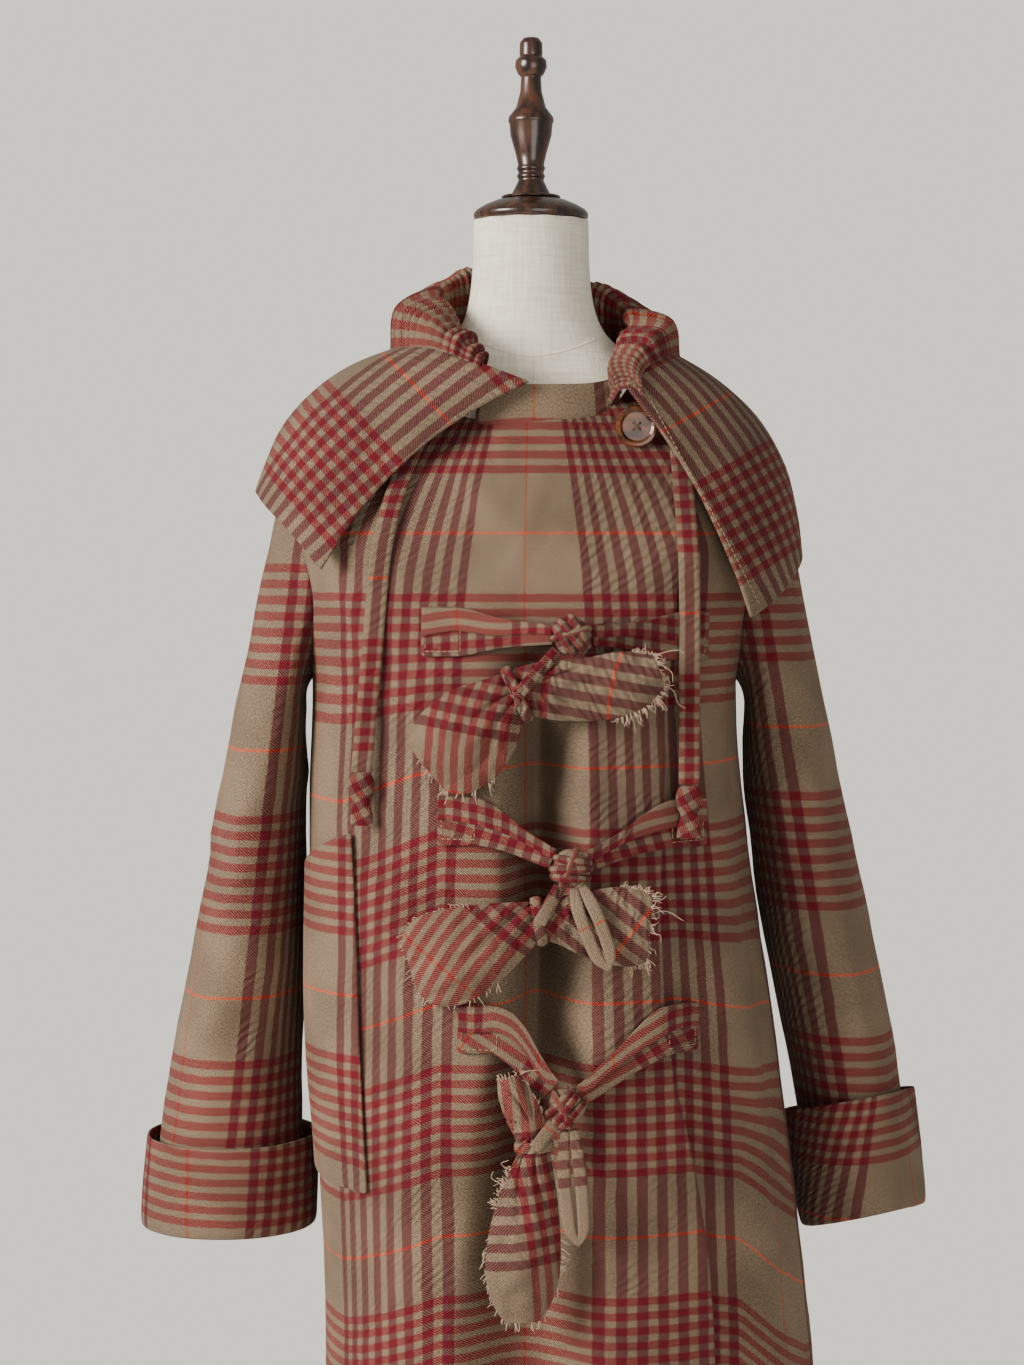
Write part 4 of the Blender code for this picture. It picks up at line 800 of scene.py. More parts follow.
# ---------------------------------------------------------------- creases
@dataclass(frozen=True)
class Crease:
    """A fold line in the front view from one point to another: its half width and its height."""

    x0: float
    z0: float
    x1: float
    z1: float
    width: float
    height: float

    def at(self, flat: np.ndarray) -> np.ndarray:
        """Height at places in the front view.

        The height times a bell of the distance to the line over its width, and it dies away at both ends.
        """
        start, end = np.array([self.x0, self.z0]), np.array([self.x1, self.z1])
        way = end - start
        share = np.clip((flat - start) @ way / (way @ way), 0.0, 1.0)
        gap = np.linalg.norm(flat - start - share[:, None] * way, axis=1)
        fade = 0.35 + 0.65 * np.sin(math.pi * np.clip(share, 0.05, 0.95))
        return self.height * fade * np.exp(-((gap / self.width) ** 2))


@dataclass(frozen=True)
class Pleats:
    """Gathers that fan out from a pinched place in the front view, or run side by side across a knot."""

    x: float
    z: float
    count: float
    height: float
    near: float = 0.0
    far: float = 0.06
    turn: float = 0.0
    fan: bool = True

    def at(self, flat: np.ndarray) -> np.ndarray:
        """Height at places in the front view.

        Fanned: ridges at even steps of the angle round the pinched place, strongest between the near and
        the far distance. Side by side: ridges at even steps across the turned direction, and the count is
        how many there are in one metre. A ridge is the root of a sine's size, so the groove is sharp.
        """
        gap = flat - np.array([self.x, self.z])
        reach = np.linalg.norm(gap, axis=1)
        if self.fan:
            phase = np.arctan2(gap[:, 1], gap[:, 0]) * self.count / 2 + 0.8 * np.sin(reach * 60.0)
            fade = smooth_step(reach, self.near, self.near + 0.008)
            fade = fade * (1.0 - 0.6 * smooth_step(reach, self.near, self.far))
        else:
            side = gap @ np.array([math.cos(self.turn), math.sin(self.turn)])
            along = gap @ np.array([-math.sin(self.turn), math.cos(self.turn)])
            phase = (side + 9.0 * along**2) * self.count * math.pi
            fade = 1.0
        return self.height * fade * (np.sqrt(np.abs(np.sin(phase))) - 0.7)


@dataclass
class Cloth:
    """A cloth piece: the solid that it stands for, how its check lies, its creases and its cut."""

    name: str
    node: str
    lay: Lay
    creases: tuple = ()
    ruffle: float = 0.0006
    ruffle_size: float = 0.05
    levels: int = 2
    facing: float = -1.0
    seed: int = 1
    flat: tuple | None = None
    area: float | None = None
    held: str = "hung"
    rests_on: tuple = ("form_torso",)
    shape: Callable[[np.ndarray], np.ndarray] | None = None

    def make(self, finish: bpy.types.Material) -> bpy.types.Object:
        """Build the cloth from its solid.

        The solid is smoothed. Each point then moves away from the body's middle line by its creases and a
        soft unevenness, so both faces of the cloth move together.

        Args:
            finish: the cloth's material.

        Returns:
            The finished piece.
        """
        mesh, points = merged_copy(self.node, self.levels)
        places, centres = loop_places(mesh, points)
        layer = mesh.uv_layers.new(name="cloth")
        layer.data.foreach_set("uv", self.lay.uv(places, centres).ravel())
        if self.shape:
            points = self.shape(points)
        flat = points[:, [0, 2]]
        lift = self.ruffle * rumple(points, self.ruffle_size, self.seed)
        for crease in self.creases:
            lift = lift + crease.at(flat)
        moved = points + self.away(points) * lift[:, None]
        mesh.vertices.foreach_set("co", moved.ravel())
        mesh.materials.clear()
        mesh.materials.append(finish)
        mesh.shade_smooth()
        mesh.update()
        made = bpy.data.objects.new(self.name, mesh)
        bpy.context.scene.collection.objects.link(made)
        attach(made, ROOT)
        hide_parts(self.node)
        log.info("cloth %s: %d faces", self.name, len(mesh.polygons))
        return made

    def away(self, points: np.ndarray) -> np.ndarray:
        """The way out of the body at each point, level, and square to an ellipse."""
        if self.facing:
            out = np.stack([points[:, 0] / 0.20**2, points[:, 1] / 0.165**2, np.zeros(len(points))], axis=1)
            return unit(out)
        line = np.polyfit(points[:, 2], points[:, 0], 1)
        back = np.polyfit(points[:, 2], points[:, 1], 1)
        out = np.stack([points[:, 0] - np.polyval(line, points[:, 2]),
                        points[:, 1] - np.polyval(back, points[:, 2]), np.zeros(len(points))], axis=1)
        return unit(out)


def grid_quads(rows: int, columns: int) -> np.ndarray:
    """Four-sided faces of a grid of vertices kept row by row."""
    row, column = np.meshgrid(np.arange(rows - 1), np.arange(columns - 1), indexing="ij")
    first = row * columns + column
    return np.stack([first, first + 1, first + columns + 1, first + columns], axis=-1).reshape(-1, 4)


def lengthened_band(points: np.ndarray) -> np.ndarray:
    """The neck band let down over its seam and on to the button: lower part down, left end out."""
    low = smooth_step(-points[:, 2], -1.352, -1.325)
    out = smooth_step(points[:, 0], 0.02, 0.075)
    moved = points.copy()
    moved[:, 2] -= 0.0052 * low
    moved[:, 1] -= 0.0016 * low
    moved[:, 0] += 0.012 * out
    moved[:, 1] += 0.006 * out
    return moved


class Station(NamedTuple):
    """A place along the collar: where its foot, crest and crease are, and how round the roll is."""

    angle: float
    crest: tuple
    crease: tuple
    roll: float


@dataclass
class NeckRoll:
    """The collar's gathered stand and roll, drawn up round the neck."""

    columns: int = 840
    rows: int = 34
    gathers: int = 62
    depth: float = 0.0034
    thickness: float = 0.0024
    start: float = 1.0
    end: float = 11.9
    stations: tuple = (
        Station(-28, (0.000, -0.100, 1.350), (0.000, -0.104, 1.351), 0.002),
        Station(-34, (-0.038, -0.088, 1.372), (-0.044, -0.098, 1.368), 0.004),
        Station(-58, (-0.064, -0.060, 1.403), (-0.084, -0.078, 1.384), 0.011),
        Station(-90, (-0.085, -0.012, 1.430), (-0.116, -0.026, 1.386), 0.016),
        Station(-122, (-0.082, 0.036, 1.446), (-0.120, 0.040, 1.388), 0.016),
        Station(-152, (-0.052, 0.072, 1.462), (-0.078, 0.104, 1.394), 0.014),
        Station(-180, (0.000, 0.088, 1.466), (0.000, 0.124, 1.394), 0.015),
        Station(-208, (0.052, 0.072, 1.452), (0.080, 0.104, 1.389), 0.014),
        Station(-238, (0.084, 0.036, 1.428), (0.124, 0.040, 1.382), 0.014),
        Station(-270, (0.092, -0.012, 1.410), (0.126, -0.026, 1.381), 0.015),
        Station(-298, (0.082, -0.054, 1.390), (0.108, -0.070, 1.374), 0.010),
        Station(-312, (0.073, -0.077, 1.368), (0.093, -0.096, 1.361), 0.005),
        Station(-319, (0.079, -0.095, 1.341), (0.095, -0.114, 1.337), 0.003),
    )

    def foot(self, angle: np.ndarray) -> np.ndarray:
        """The neckline: a rounded square with half width 98 mm, whose height dips at front and back."""
        side, ahead = np.sin(angle), np.cos(angle)
        deep = np.where(ahead > 0, 0.092, 0.078)
        low = np.where(ahead > 0, 1.316, 1.383)
        x = 0.098 * np.sign(side) * np.abs(side) ** 0.9
        y = -deep * np.sign(ahead) * np.abs(ahead) ** 0.9
        return np.stack([x, y, low + (1.402 - low) * np.abs(side) ** 5 + 0.0028], axis=-1)

    def surface(self) -> tuple[np.ndarray, np.ndarray, np.ndarray]:
        """Points of the roll, with its two parameters.

        At each station five points (foot, inside, crest, roll, crease) are joined by a smooth curve. Each
        point then moves along the surface's normal by a wave whose count round the neck is the number of
        gathers, uneven in height, full at the drawn-up foot and nearly flat at the crease.
        """
        t = np.linspace(self.start, self.end, self.columns)
        keys = np.arange(len(self.stations), dtype=float)
        angle = np.interp(t, keys, [s.angle for s in self.stations])
        crest = spline(keys, np.array([s.crest for s in self.stations]), t)
        crease = spline(keys, np.array([s.crease for s in self.stations]), t)
        round_out = spline(keys, np.array([[s.roll] for s in self.stations]), t)
        foot = self.foot(np.radians(angle))
        away = unit(crease * np.array([1.0, 1.0, 0.0]))
        inner = 0.5 * (foot + crest) - away * 0.25 * round_out
        roll = 0.45 * crest + 0.55 * crease + away * round_out * 0.8 + np.array([0, 0, 0.7]) * round_out
        hang = crease + away * 0.0035 + np.array([0.0, 0.0, -0.0045])
        lines = np.stack([foot, inner, crest, roll, hang])
        s = np.linspace(0.0, 4.0, self.rows)
        grid = spline(np.arange(5.0), lines.reshape(5, -1), s).reshape(self.rows, self.columns, 3)
        normal = unit(np.cross(np.gradient(grid, axis=1), np.gradient(grid, axis=0)))
        phase = np.cumsum(1.0 + 0.35 * np.sin(t * 2.9) + 0.25 * np.sin(t * 7.3 + 1.0))
        phase *= self.gathers * 2 * math.pi / phase[-1]
        strength = 0.75 + 0.35 * np.sin(t * 5.1 + 0.6)
        share = np.interp(s, [0.0, 1.0, 2.0, 3.0, 4.0], [1.0, 1.15, 0.95, 0.70, 0.20])
        lag = s[:, None] * 0.35 * np.sin(t * 3.7)[None]
        wave = np.sin(phase[None] + lag) * share[:, None] * strength[None] * self.depth
        swell = np.interp(s, [0, 2, 3, 4], [0.1, 0.8, 1.0, 0.3])[:, None] * 0.0022
        broad = np.sin(phase[None] / 6.0 + lag * 2) * swell
        grid = grid + normal * (wave + broad)[..., None]
        return grid, t, s

    def make(self, finish: bpy.types.Material) -> bpy.types.Object:
        """Build the roll, give it its thickness and lay the check along it.

        Args:
            finish: the cloth's material.

        Returns:
            The finished roll.
        """
        grid, t, s = self.surface()
        quads = grid_quads(self.rows, self.columns)
        made = new_piece("collar_roll_cloth", grid.reshape(-1, 3), quads, finish)
        mesh = made.data
        u = np.broadcast_to(t[None] * 0.098, (self.rows, self.columns))
        v = np.broadcast_to(s[:, None] * 0.030 + 0.030, (self.rows, self.columns))
        lay_check(made, np.stack([u, v], axis=-1).reshape(-1, 2))
        wall = made.modifiers.new("thickness", "SOLIDIFY")
        wall.thickness = self.thickness
        wall.offset = 0.0
        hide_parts("collar_stand")
        return made


def vertex_places(piece: bpy.types.Object, kind: str = "co") -> np.ndarray:
    """A piece's vertices or, with "normal", the ways that they face."""
    values = np.empty(len(piece.data.vertices) * 3)
    piece.data.vertices.foreach_get(kind, values)
    return values.reshape(-1, 3)


def lay_check(made: bpy.types.Object, flat: np.ndarray) -> None:
    """Give a piece its cloth coordinates, one pair for each vertex."""
    corner = np.empty(len(made.data.loops), dtype=int)
    made.data.loops.foreach_get("vertex_index", corner)
    made.data.uv_layers.new(name="cloth").data.foreach_set("uv", flat[corner].ravel())


@dataclass
class UpperLayer:
    """The upper layer of a folded tie, whose free edge runs along the tie's middle."""

    finish: bpy.types.Material
    seed: int
    columns: int = 90
    rows: int = 12
    lift: float = 0.0016

    def make(self, name: str, tie: bpy.types.Object) -> None:
        """Lay the strip on the tie.

        Its top follows the tie's upper edge and its foot the middle of the tie's height. Each point lies in
        front of the tie by the lift, at the bell-weighted mean depth of the tie's nearest front vertices.

        Args:
            name: the strip's name.
            tie: the tie's cloth.
        """
        points, ways = vertex_places(tie), vertex_places(tie, "normal")
        x = np.linspace(points[:, 0].min() + 0.0006, points[:, 0].max() - 0.0006, self.columns)
        near = np.abs(points[None, :, 0] - x[:, None]) < 0.003
        top = running_mean(np.where(near, points[None, :, 2], -9.0).max(axis=1), 7)
        low = running_mean(np.where(near, points[None, :, 2], 9.0).min(axis=1), 7)
        foot = low + (top - low) * (0.47 + 0.05 * np.sin(x * 90.0 + self.seed))
        share = np.linspace(0.0, 1.0, self.rows)[:, None]
        z = foot * (1.0 - share) + (top - 0.0006) * share
        front = points[ways[:, 1] < -0.4]
        flat = np.stack([np.broadcast_to(x, z.shape), z], axis=-1).reshape(-1, 2)
        gap = ((flat[:, None] - front[None, :, [0, 2]]) ** 2).sum(axis=2)
        weight = np.exp(-(gap - gap.min(axis=1, keepdims=True)) / 0.0022**2)
        y = (weight * front[:, 1]).sum(axis=1) / weight.sum(axis=1) - self.lift
        quads = grid_quads(self.rows, self.columns)
        made = new_piece(name, np.stack([flat[:, 0], y, flat[:, 1]], axis=1), quads, self.finish)
        lay_check(made, np.stack([flat[:, 0] * 1.1 + 0.07 * self.seed,
                                  (share * (top - foot)).ravel() + 0.0525 + 0.0007 * self.seed], axis=1))
        wall = made.modifiers.new("thickness", "SOLIDIFY")
        wall.thickness = 0.0014
        wall.offset = 0.0


@dataclass
class WrappedKnot:
    """Rolled bands wound round a knot: three side by side and one across them."""

    finish: bpy.types.Material
    x: float
    y: float
    z: float
    turn: float
    half: tuple = (0.0158, 0.0108, 0.0158)
    radius: float = 0.0037

    def make(self, name: str) -> None:
        """Wind the bands.

        Each band is a circle of the unit ball, moved off its middle and turned, then stretched to the
        knot's half sizes. Its radius swells and shrinks a little along it.

        Args:
            name: the piece's name.
        """
        angle = np.linspace(0.0, 2 * math.pi, 64)
        grids, flats = [], []
        for index, (off, tilt) in enumerate(((-0.46, 0.0), (0.0, 0.10), (0.46, -0.08), (0.12, 1.25))):
            round_it = math.sqrt(1.0 - off**2)
            ring = np.stack([np.full(64, off), -round_it * np.cos(angle), round_it * np.sin(angle)], axis=1)
            turn = self.turn + tilt
            cos, sin = math.cos(turn), math.sin(turn)
            around = np.array([[cos, 0, -sin], [0, 1, 0], [sin, 0, cos]])
            path = ring @ around.T * np.array(self.half) + np.array([self.x, self.y, self.z])
            path[:, 1] -= 0.0012 * (index == 3)
            radius = self.radius * (1.0 + 0.12 * np.sin(angle * 2 + index)) * (0.8 if index == 3 else 1.0)
            grids.append(tube_grid(path, radius, 14))
            side = np.concatenate([np.tile(np.arange(14) * 0.0022, 64), [0.0, 0.0]])
            run = np.concatenate([np.repeat(angle * 0.0155, 14), [0.0, 0.0]])
            flats.append(np.stack([run + 0.05 + 0.013 * index, side + 0.062], axis=1))
        points, faces = join_grids(grids)
        made = face_mesh(name, points, faces, self.finish, Slot.WOOL)
        lay_check(made, np.vstack(flats))


# ---------------------------------------------------------------- the coat
@dataclass
class Coat:
    """The coat's cloth: panels, sleeves, collar, ties, rags and straps."""

    finish: bpy.types.Material
    front_u: float = -0.0068
    front_v: float = 1.2185
    valley: tuple = (
        Crease(0.009, 1.110, 0.010, 0.950, 0.023, -0.0360), Crease(0.008, 0.960, 0.003, 0.745, 0.024, -0.0380),
        Crease(0.046, 1.085, 0.050, 0.960, 0.010, 0.0050), Crease(-0.012, 0.740, -0.012, 0.600, 0.015, -0.0110))
    knots: dict = field(default_factory=lambda: {
        "top": (0.0332, 1.1325), "middle": (0.0326, 0.9365), "bottom": (0.0277, 0.7350)})
    deep: dict = field(default_factory=lambda: {"top": -0.1880, "middle": -0.1980, "bottom": -0.2060})
    pieces: dict = field(default_factory=dict)

    def add(self, cloth: Cloth) -> None:
        """Make a cloth piece and keep it by its node's name."""
        self.pieces[cloth.node] = cloth.make(self.finish)

    def panels(self) -> None:
        """The two fronts, the back and the patch pocket."""
        right = BodyLay(self.front_u, self.front_v,
                        drops=(Drop(-0.078, -1.0, 0.42, 0.036, 1.16, 0.95),))
        left = BodyLay(self.front_u, self.front_v,
                       drops=(Drop(0.125, 1.0, 0.24, 0.05, 0.95, 0.82),
                              Drop(0.18, 1.0, 0.75, 0.05, 0.75, 0.62)))
        right_creases = (
            Crease(-0.075, 1.285, -0.020, 1.225, 0.010, 0.0030),
            Crease(0.010, 1.270, -0.015, 1.190, 0.009, 0.0025),
            Crease(-0.120, 1.150, -0.090, 1.020, 0.008, 0.0030),
            Crease(-0.142, 1.000, -0.118, 0.860, 0.008, -0.0030),
            Crease(-0.125, 0.900, -0.095, 0.760, 0.010, 0.0035),
            Crease(-0.100, 0.740, -0.120, 0.560, 0.012, 0.0030),
            Crease(0.020, 1.230, 0.060, 1.170, 0.012, 0.0022),
            Crease(-0.060, 1.115, -0.040, 0.990, 0.007, -0.0025),
            Crease(-0.015, 1.110, -0.022, 0.980, 0.012, 0.0050),
            Crease(-0.024, 0.940, -0.026, 0.800, 0.012, 0.0055),
            Crease(-0.165, 1.180, -0.120, 1.060, 0.009, 0.0035),
            Crease(-0.060, 0.700, -0.090, 0.500, 0.014, -0.0050),
            Crease(-0.045, 1.330, -0.030, 1.270, 0.006, -0.0022), *self.valley,
        )
        left_creases = (
            Crease(0.040, 1.110, 0.075, 0.990, 0.009, 0.0030),
            Crease(0.120, 1.080, 0.135, 0.900, 0.010, 0.0028),
            Crease(0.165, 0.990, 0.185, 0.760, 0.012, 0.0035),
            Crease(0.100, 0.930, 0.090, 0.830, 0.008, -0.0025),
            Crease(0.190, 0.800, 0.205, 0.560, 0.012, 0.0040),
            Crease(0.060, 0.700, 0.040, 0.520, 0.012, 0.0030),
            Crease(0.095, 1.270, 0.110, 1.120, 0.009, -0.0035),
            Crease(0.140, 0.780, 0.150, 0.520, 0.016, -0.0050),
            Crease(0.050, 0.930, 0.046, 0.790, 0.011, 0.0060), *self.valley,
        )
        self.add(Cloth("right_front_cloth", "right_front", right, right_creases, 0.0012, 0.06, seed=3,
                       flat=(0.52, 1.20), area=0.50))
        self.add(Cloth("left_front_cloth", "left_front", left, left_creases, 0.0012, 0.06, seed=5,
                       flat=(0.36, 1.20), area=0.26))
        back = BodyLay(0.0, self.front_v, behind=True)
        self.add(Cloth("back_cloth", "back", back, (), 0.0016, 0.08, seed=7, flat=(0.66, 1.20), area=0.63))
        pocket = BodyLay(self.front_u + 0.012, self.front_v, drops=(Drop(-0.150, 1.0, 0.3, 0.02, 1.2, 1.1),))
        self.add(Cloth("right_pocket_cloth", "right_pocket", pocket, (), 0.0004, 0.03, seed=9,
                       flat=(0.14, 0.32), area=0.040, rests_on=("right_front",)))

    def sleeves(self) -> None:
        """Both sleeves with their turned-back cuffs."""
        rows = 0.1993 / 0.2225
        right = SleeveLay(-0.050, 1.027 * rows, 0.066, rows)
        left = SleeveLay(0.050, 1.048 * rows, 0.066, rows)
        right_creases = (
            Crease(-0.235, 1.120, -0.262, 1.010, 0.008, 0.0035),
            Crease(-0.270, 1.000, -0.290, 0.900, 0.008, -0.0030),
            Crease(-0.225, 0.960, -0.262, 0.900, 0.008, 0.0035),
            Crease(-0.230, 0.880, -0.300, 0.800, 0.010, 0.0040),
            Crease(-0.210, 1.060, -0.235, 1.020, 0.008, 0.0030),
            Crease(-0.210, 1.000, -0.285, 0.950, 0.010, 0.0050),
            Crease(-0.225, 0.840, -0.300, 0.770, 0.009, 0.0050),
            Crease(-0.245, 0.790, -0.310, 0.745, 0.008, -0.0040),
            Crease(-0.200, 1.180, -0.220, 1.090, 0.010, -0.0040),
            Crease(-0.230, 0.930, -0.280, 0.860, 0.008, -0.0045),
        )
        left_creases = (
            Crease(0.225, 1.130, 0.262, 1.010, 0.008, 0.0035),
            Crease(0.255, 0.960, 0.292, 0.880, 0.008, -0.0035),
            Crease(0.225, 0.930, 0.262, 0.900, 0.008, 0.0035),
            Crease(0.235, 0.860, 0.305, 0.800, 0.010, 0.0050),
            Crease(0.210, 1.030, 0.270, 0.980, 0.010, 0.0050),
            Crease(0.245, 0.820, 0.315, 0.770, 0.009, 0.0045),
            Crease(0.235, 0.910, 0.300, 0.850, 0.008, -0.0045),
            Crease(0.205, 1.190, 0.235, 1.080, 0.010, -0.0040),
        )
        self.add(Cloth("right_sleeve_cloth", "right_sleeve", right, right_creases, 0.0016, 0.05,
                       facing=0.0, seed=11, flat=(0.46, 0.70), area=0.24))
        self.add(Cloth("left_sleeve_cloth", "left_sleeve", left, left_creases, 0.0016, 0.05,
                       facing=0.0, seed=13, flat=(0.46, 0.70), area=0.24))
        self.add(Cloth("right_cuff_cloth", "right_cuff", SleeveLay(-0.030, 0.735, 0.075, 1.0, 0.03),
                       (), 0.0009, 0.04, facing=0.0, seed=15, flat=(0.50, 0.11), area=0.053, rests_on=("right_sleeve",)))
        self.add(Cloth("left_cuff_cloth", "left_cuff", SleeveLay(0.045, 0.765, 0.075, 1.0, -0.12),
                       (), 0.0009, 0.04, facing=0.0, seed=17, flat=(0.50, 0.13), area=0.062, rests_on=("left_sleeve",)))

    def collar(self) -> None:
        """The wide collar, its gathered roll and the neck band."""
        self.add(Cloth("collar_fall_cloth", "collar_fall", CollarLay(), (), 0.0014, 0.05, seed=19,
                       flat=(0.95, 0.26), area=0.20, held="draped",
                       rests_on=("right_front", "left_front", "back")))
        self.pieces["collar_stand"] = NeckRoll().make(self.finish)
        self.add(Cloth("neck_band_cloth", "neck_band", RollLay(0.002, 1.47, 0.100), (), 0.0003, 0.03, seed=23,
                       flat=(0.13, 0.035), area=0.0039, rests_on=("right_front",), shape=lengthened_band))

    def ties(self) -> None:
        """The three ties with their knots, rings, tails, loops and rags."""
        turns = {"top": 58.0, "middle": 40.0, "bottom": 8.0}
        pinches = {"top": (-0.0010, 1.0930), "middle": (0.0190, 0.9160), "bottom": (0.0020, 0.7200)}
        for row, (name, (x, z)) in enumerate(pinches.items()):
            run = 0.135 if row < 2 else 0.090
            pleats = (Pleats(x, z, 17.0, 0.0052, 0.006, 0.09), Pleats(x, z, 41.0, 0.0013, 0.010, 0.12))
            lay = BandLay(run + 0.012 * row, 0.065, turns[name])
            self.add(Cloth(f"{name}_rag_cloth", f"{name}_rag", lay, pleats, 0.0030, 0.014, levels=3, seed=31 + row))
            for index, part in enumerate(("left", "right", "ring", "tail", "knot", "loop")):
                node = f"{name}_tie_{part}"
                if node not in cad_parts:
                    continue
                knotted = part in ("knot", "ring")
                x, z = self.knots[name]
                folds = (Pleats(x, z, 125.0, 0.0026, turn=0.5 + 0.7 * row, fan=False),) if knotted else ()
                low = 0.024 if part in ("left", "right") else 0.0665 + 0.004 * index
                lay = BandLay(0.060 + 0.021 * index + 0.05 * row, low, 34.0 if knotted else 2.0)
                ruffle = 0.0010 if knotted else 0.0003
                made = Cloth(f"{name}_tie_{part}_cloth", node, lay, folds, ruffle, 0.012 if knotted else 0.03,
                             levels=3 if knotted else 2, seed=41 + row * 7 + index)
                self.add(made)
                if part in ("left", "right"):
                    UpperLayer(self.finish, row + index).make(f"{node}_upper", self.pieces[node])
            WrappedKnot(self.finish, x, self.deep[name], z, 0.6 + 0.9 * row).make(f"{name}_tie_knot_wraps")

    def straps(self) -> None:
        """The two neck straps, which hang free, with their end knots."""
        for side, across, seed in (("right", -0.070, 71), ("left", -0.070, 73)):
            strap = Cloth(f"{side}_strap_cloth", f"{side}_strap", Lay(0.0, 1.2185), (), 0.0004, 0.03, seed=seed)
            strap.lay = StrapLay(0.0, 1.180 if side == "right" else 1.150)
            piece = strap.make(self.finish)
            self.pieces[strap.node] = piece
            lay = BandLay(0.065, 0.062, 30.0)
            knot = Cloth(f"{side}_strap_knot_cloth", f"{side}_strap_knot", lay, (), 0.0012, 0.010,
                         levels=3, seed=seed + 1)
            end = knot.make(self.finish)
            self.pieces[knot.node] = end
            points = np.empty(len(piece.data.vertices) * 3)
            piece.data.vertices.foreach_get("co", points)


@dataclass(frozen=True)
class StrapLay(Lay):
    """Cloth of a hanging strap: u across it from its own middle, v down it."""

    def uv(self, places: np.ndarray, centres: np.ndarray) -> np.ndarray:
        """Distance from the strap's middle at each height, with one red stripe on the middle."""
        order = np.argsort(centres[:, 2])
        middle = np.interp(places[:, 2], centres[order, 2][::40], running_mean(centres[order, 0], 400)[::40])
        across = places[:, 0] - middle + 0.0514 + 0.0038 + 2 * 0.0150
        return np.stack([across - self.u0, places[:, 2] - self.v0], axis=1)


def running_mean(values: np.ndarray, width: int) -> np.ndarray:
    """The mean of each value's neighbours."""
    width = min(width, len(values) // 2)
    kernel = np.ones(width) / width
    padded = np.pad(values, (width // 2, width - 1 - width // 2), mode="edge")
    return np.convolve(padded, kernel, mode="valid")


# ---------------------------------------------------------------- stitches and loose threads
def front_surface(pieces: list[bpy.types.Object]) -> BVHTree:
    """A search tree of the shown surface of some pieces."""
    points, faces, start = [], [], 0
    for piece in pieces:
        mesh = piece.data
        points += [v.co.copy() for v in mesh.vertices]
        faces += [[i + start for i in face.vertices] for face in mesh.polygons]
        start += len(mesh.vertices)
    return BVHTree.FromPolygons(points, faces)


def drop_on(surface: BVHTree, x: float, z: float, way: tuple = (0.0, 1.0, 0.0),
            start: float = -0.6) -> Vector | None:
    """The first point of a surface behind (x, z) in the front view."""
    hit = surface.ray_cast(Vector((x, start, z)), Vector(way))
    return hit[0]


@dataclass
class Stitching:
    """Rows of machine stitches that lie on the cloth."""

    finish: bpy.types.Material
    length: float = 0.0034
    gap: float = 0.0016
    radius: float = 0.00045

    def row(self, name: str, surface: BVHTree, line: tuple) -> None:
        """Sew along a line of the front view.

        The line is divided evenly, each division is dropped on the cloth, and each stitch is a short tube
        between two of them.

        Args:
            name: the row's name.
            surface: the cloth it lies on.
            line: (x, z) points in the front view.
        """
        flat = np.array(line)
        lengths = np.concatenate([[0.0], np.cumsum(np.linalg.norm(np.diff(flat, axis=0), axis=1))])
        starts = np.arange(0.0, lengths[-1] - self.length, self.length + self.gap)
        grids = []
        for begin in starts:
            at = begin + np.array([0.0, 0.5, 1.0]) * self.length
            spots = [drop_on(surface, x, z) for x, z in
                     zip(np.interp(at, lengths, flat[:, 0]), np.interp(at, lengths, flat[:, 1]))]
            if None in spots:
                continue
            path = np.array([list(spot) for spot in spots])
            if np.ptp(path[:, 1]) > 0.004:
                continue
            path[:, 1] -= np.array([0.1, 0.9, 0.1]) * self.radius
            grids.append(tube_grid(path, self.radius, 6))
        if not grids:
            return
        points, faces = join_grids(grids)
        face_mesh(name, points, faces, self.finish, Slot.WOOL)
        log.info("stitches %s: %d", name, len(grids))


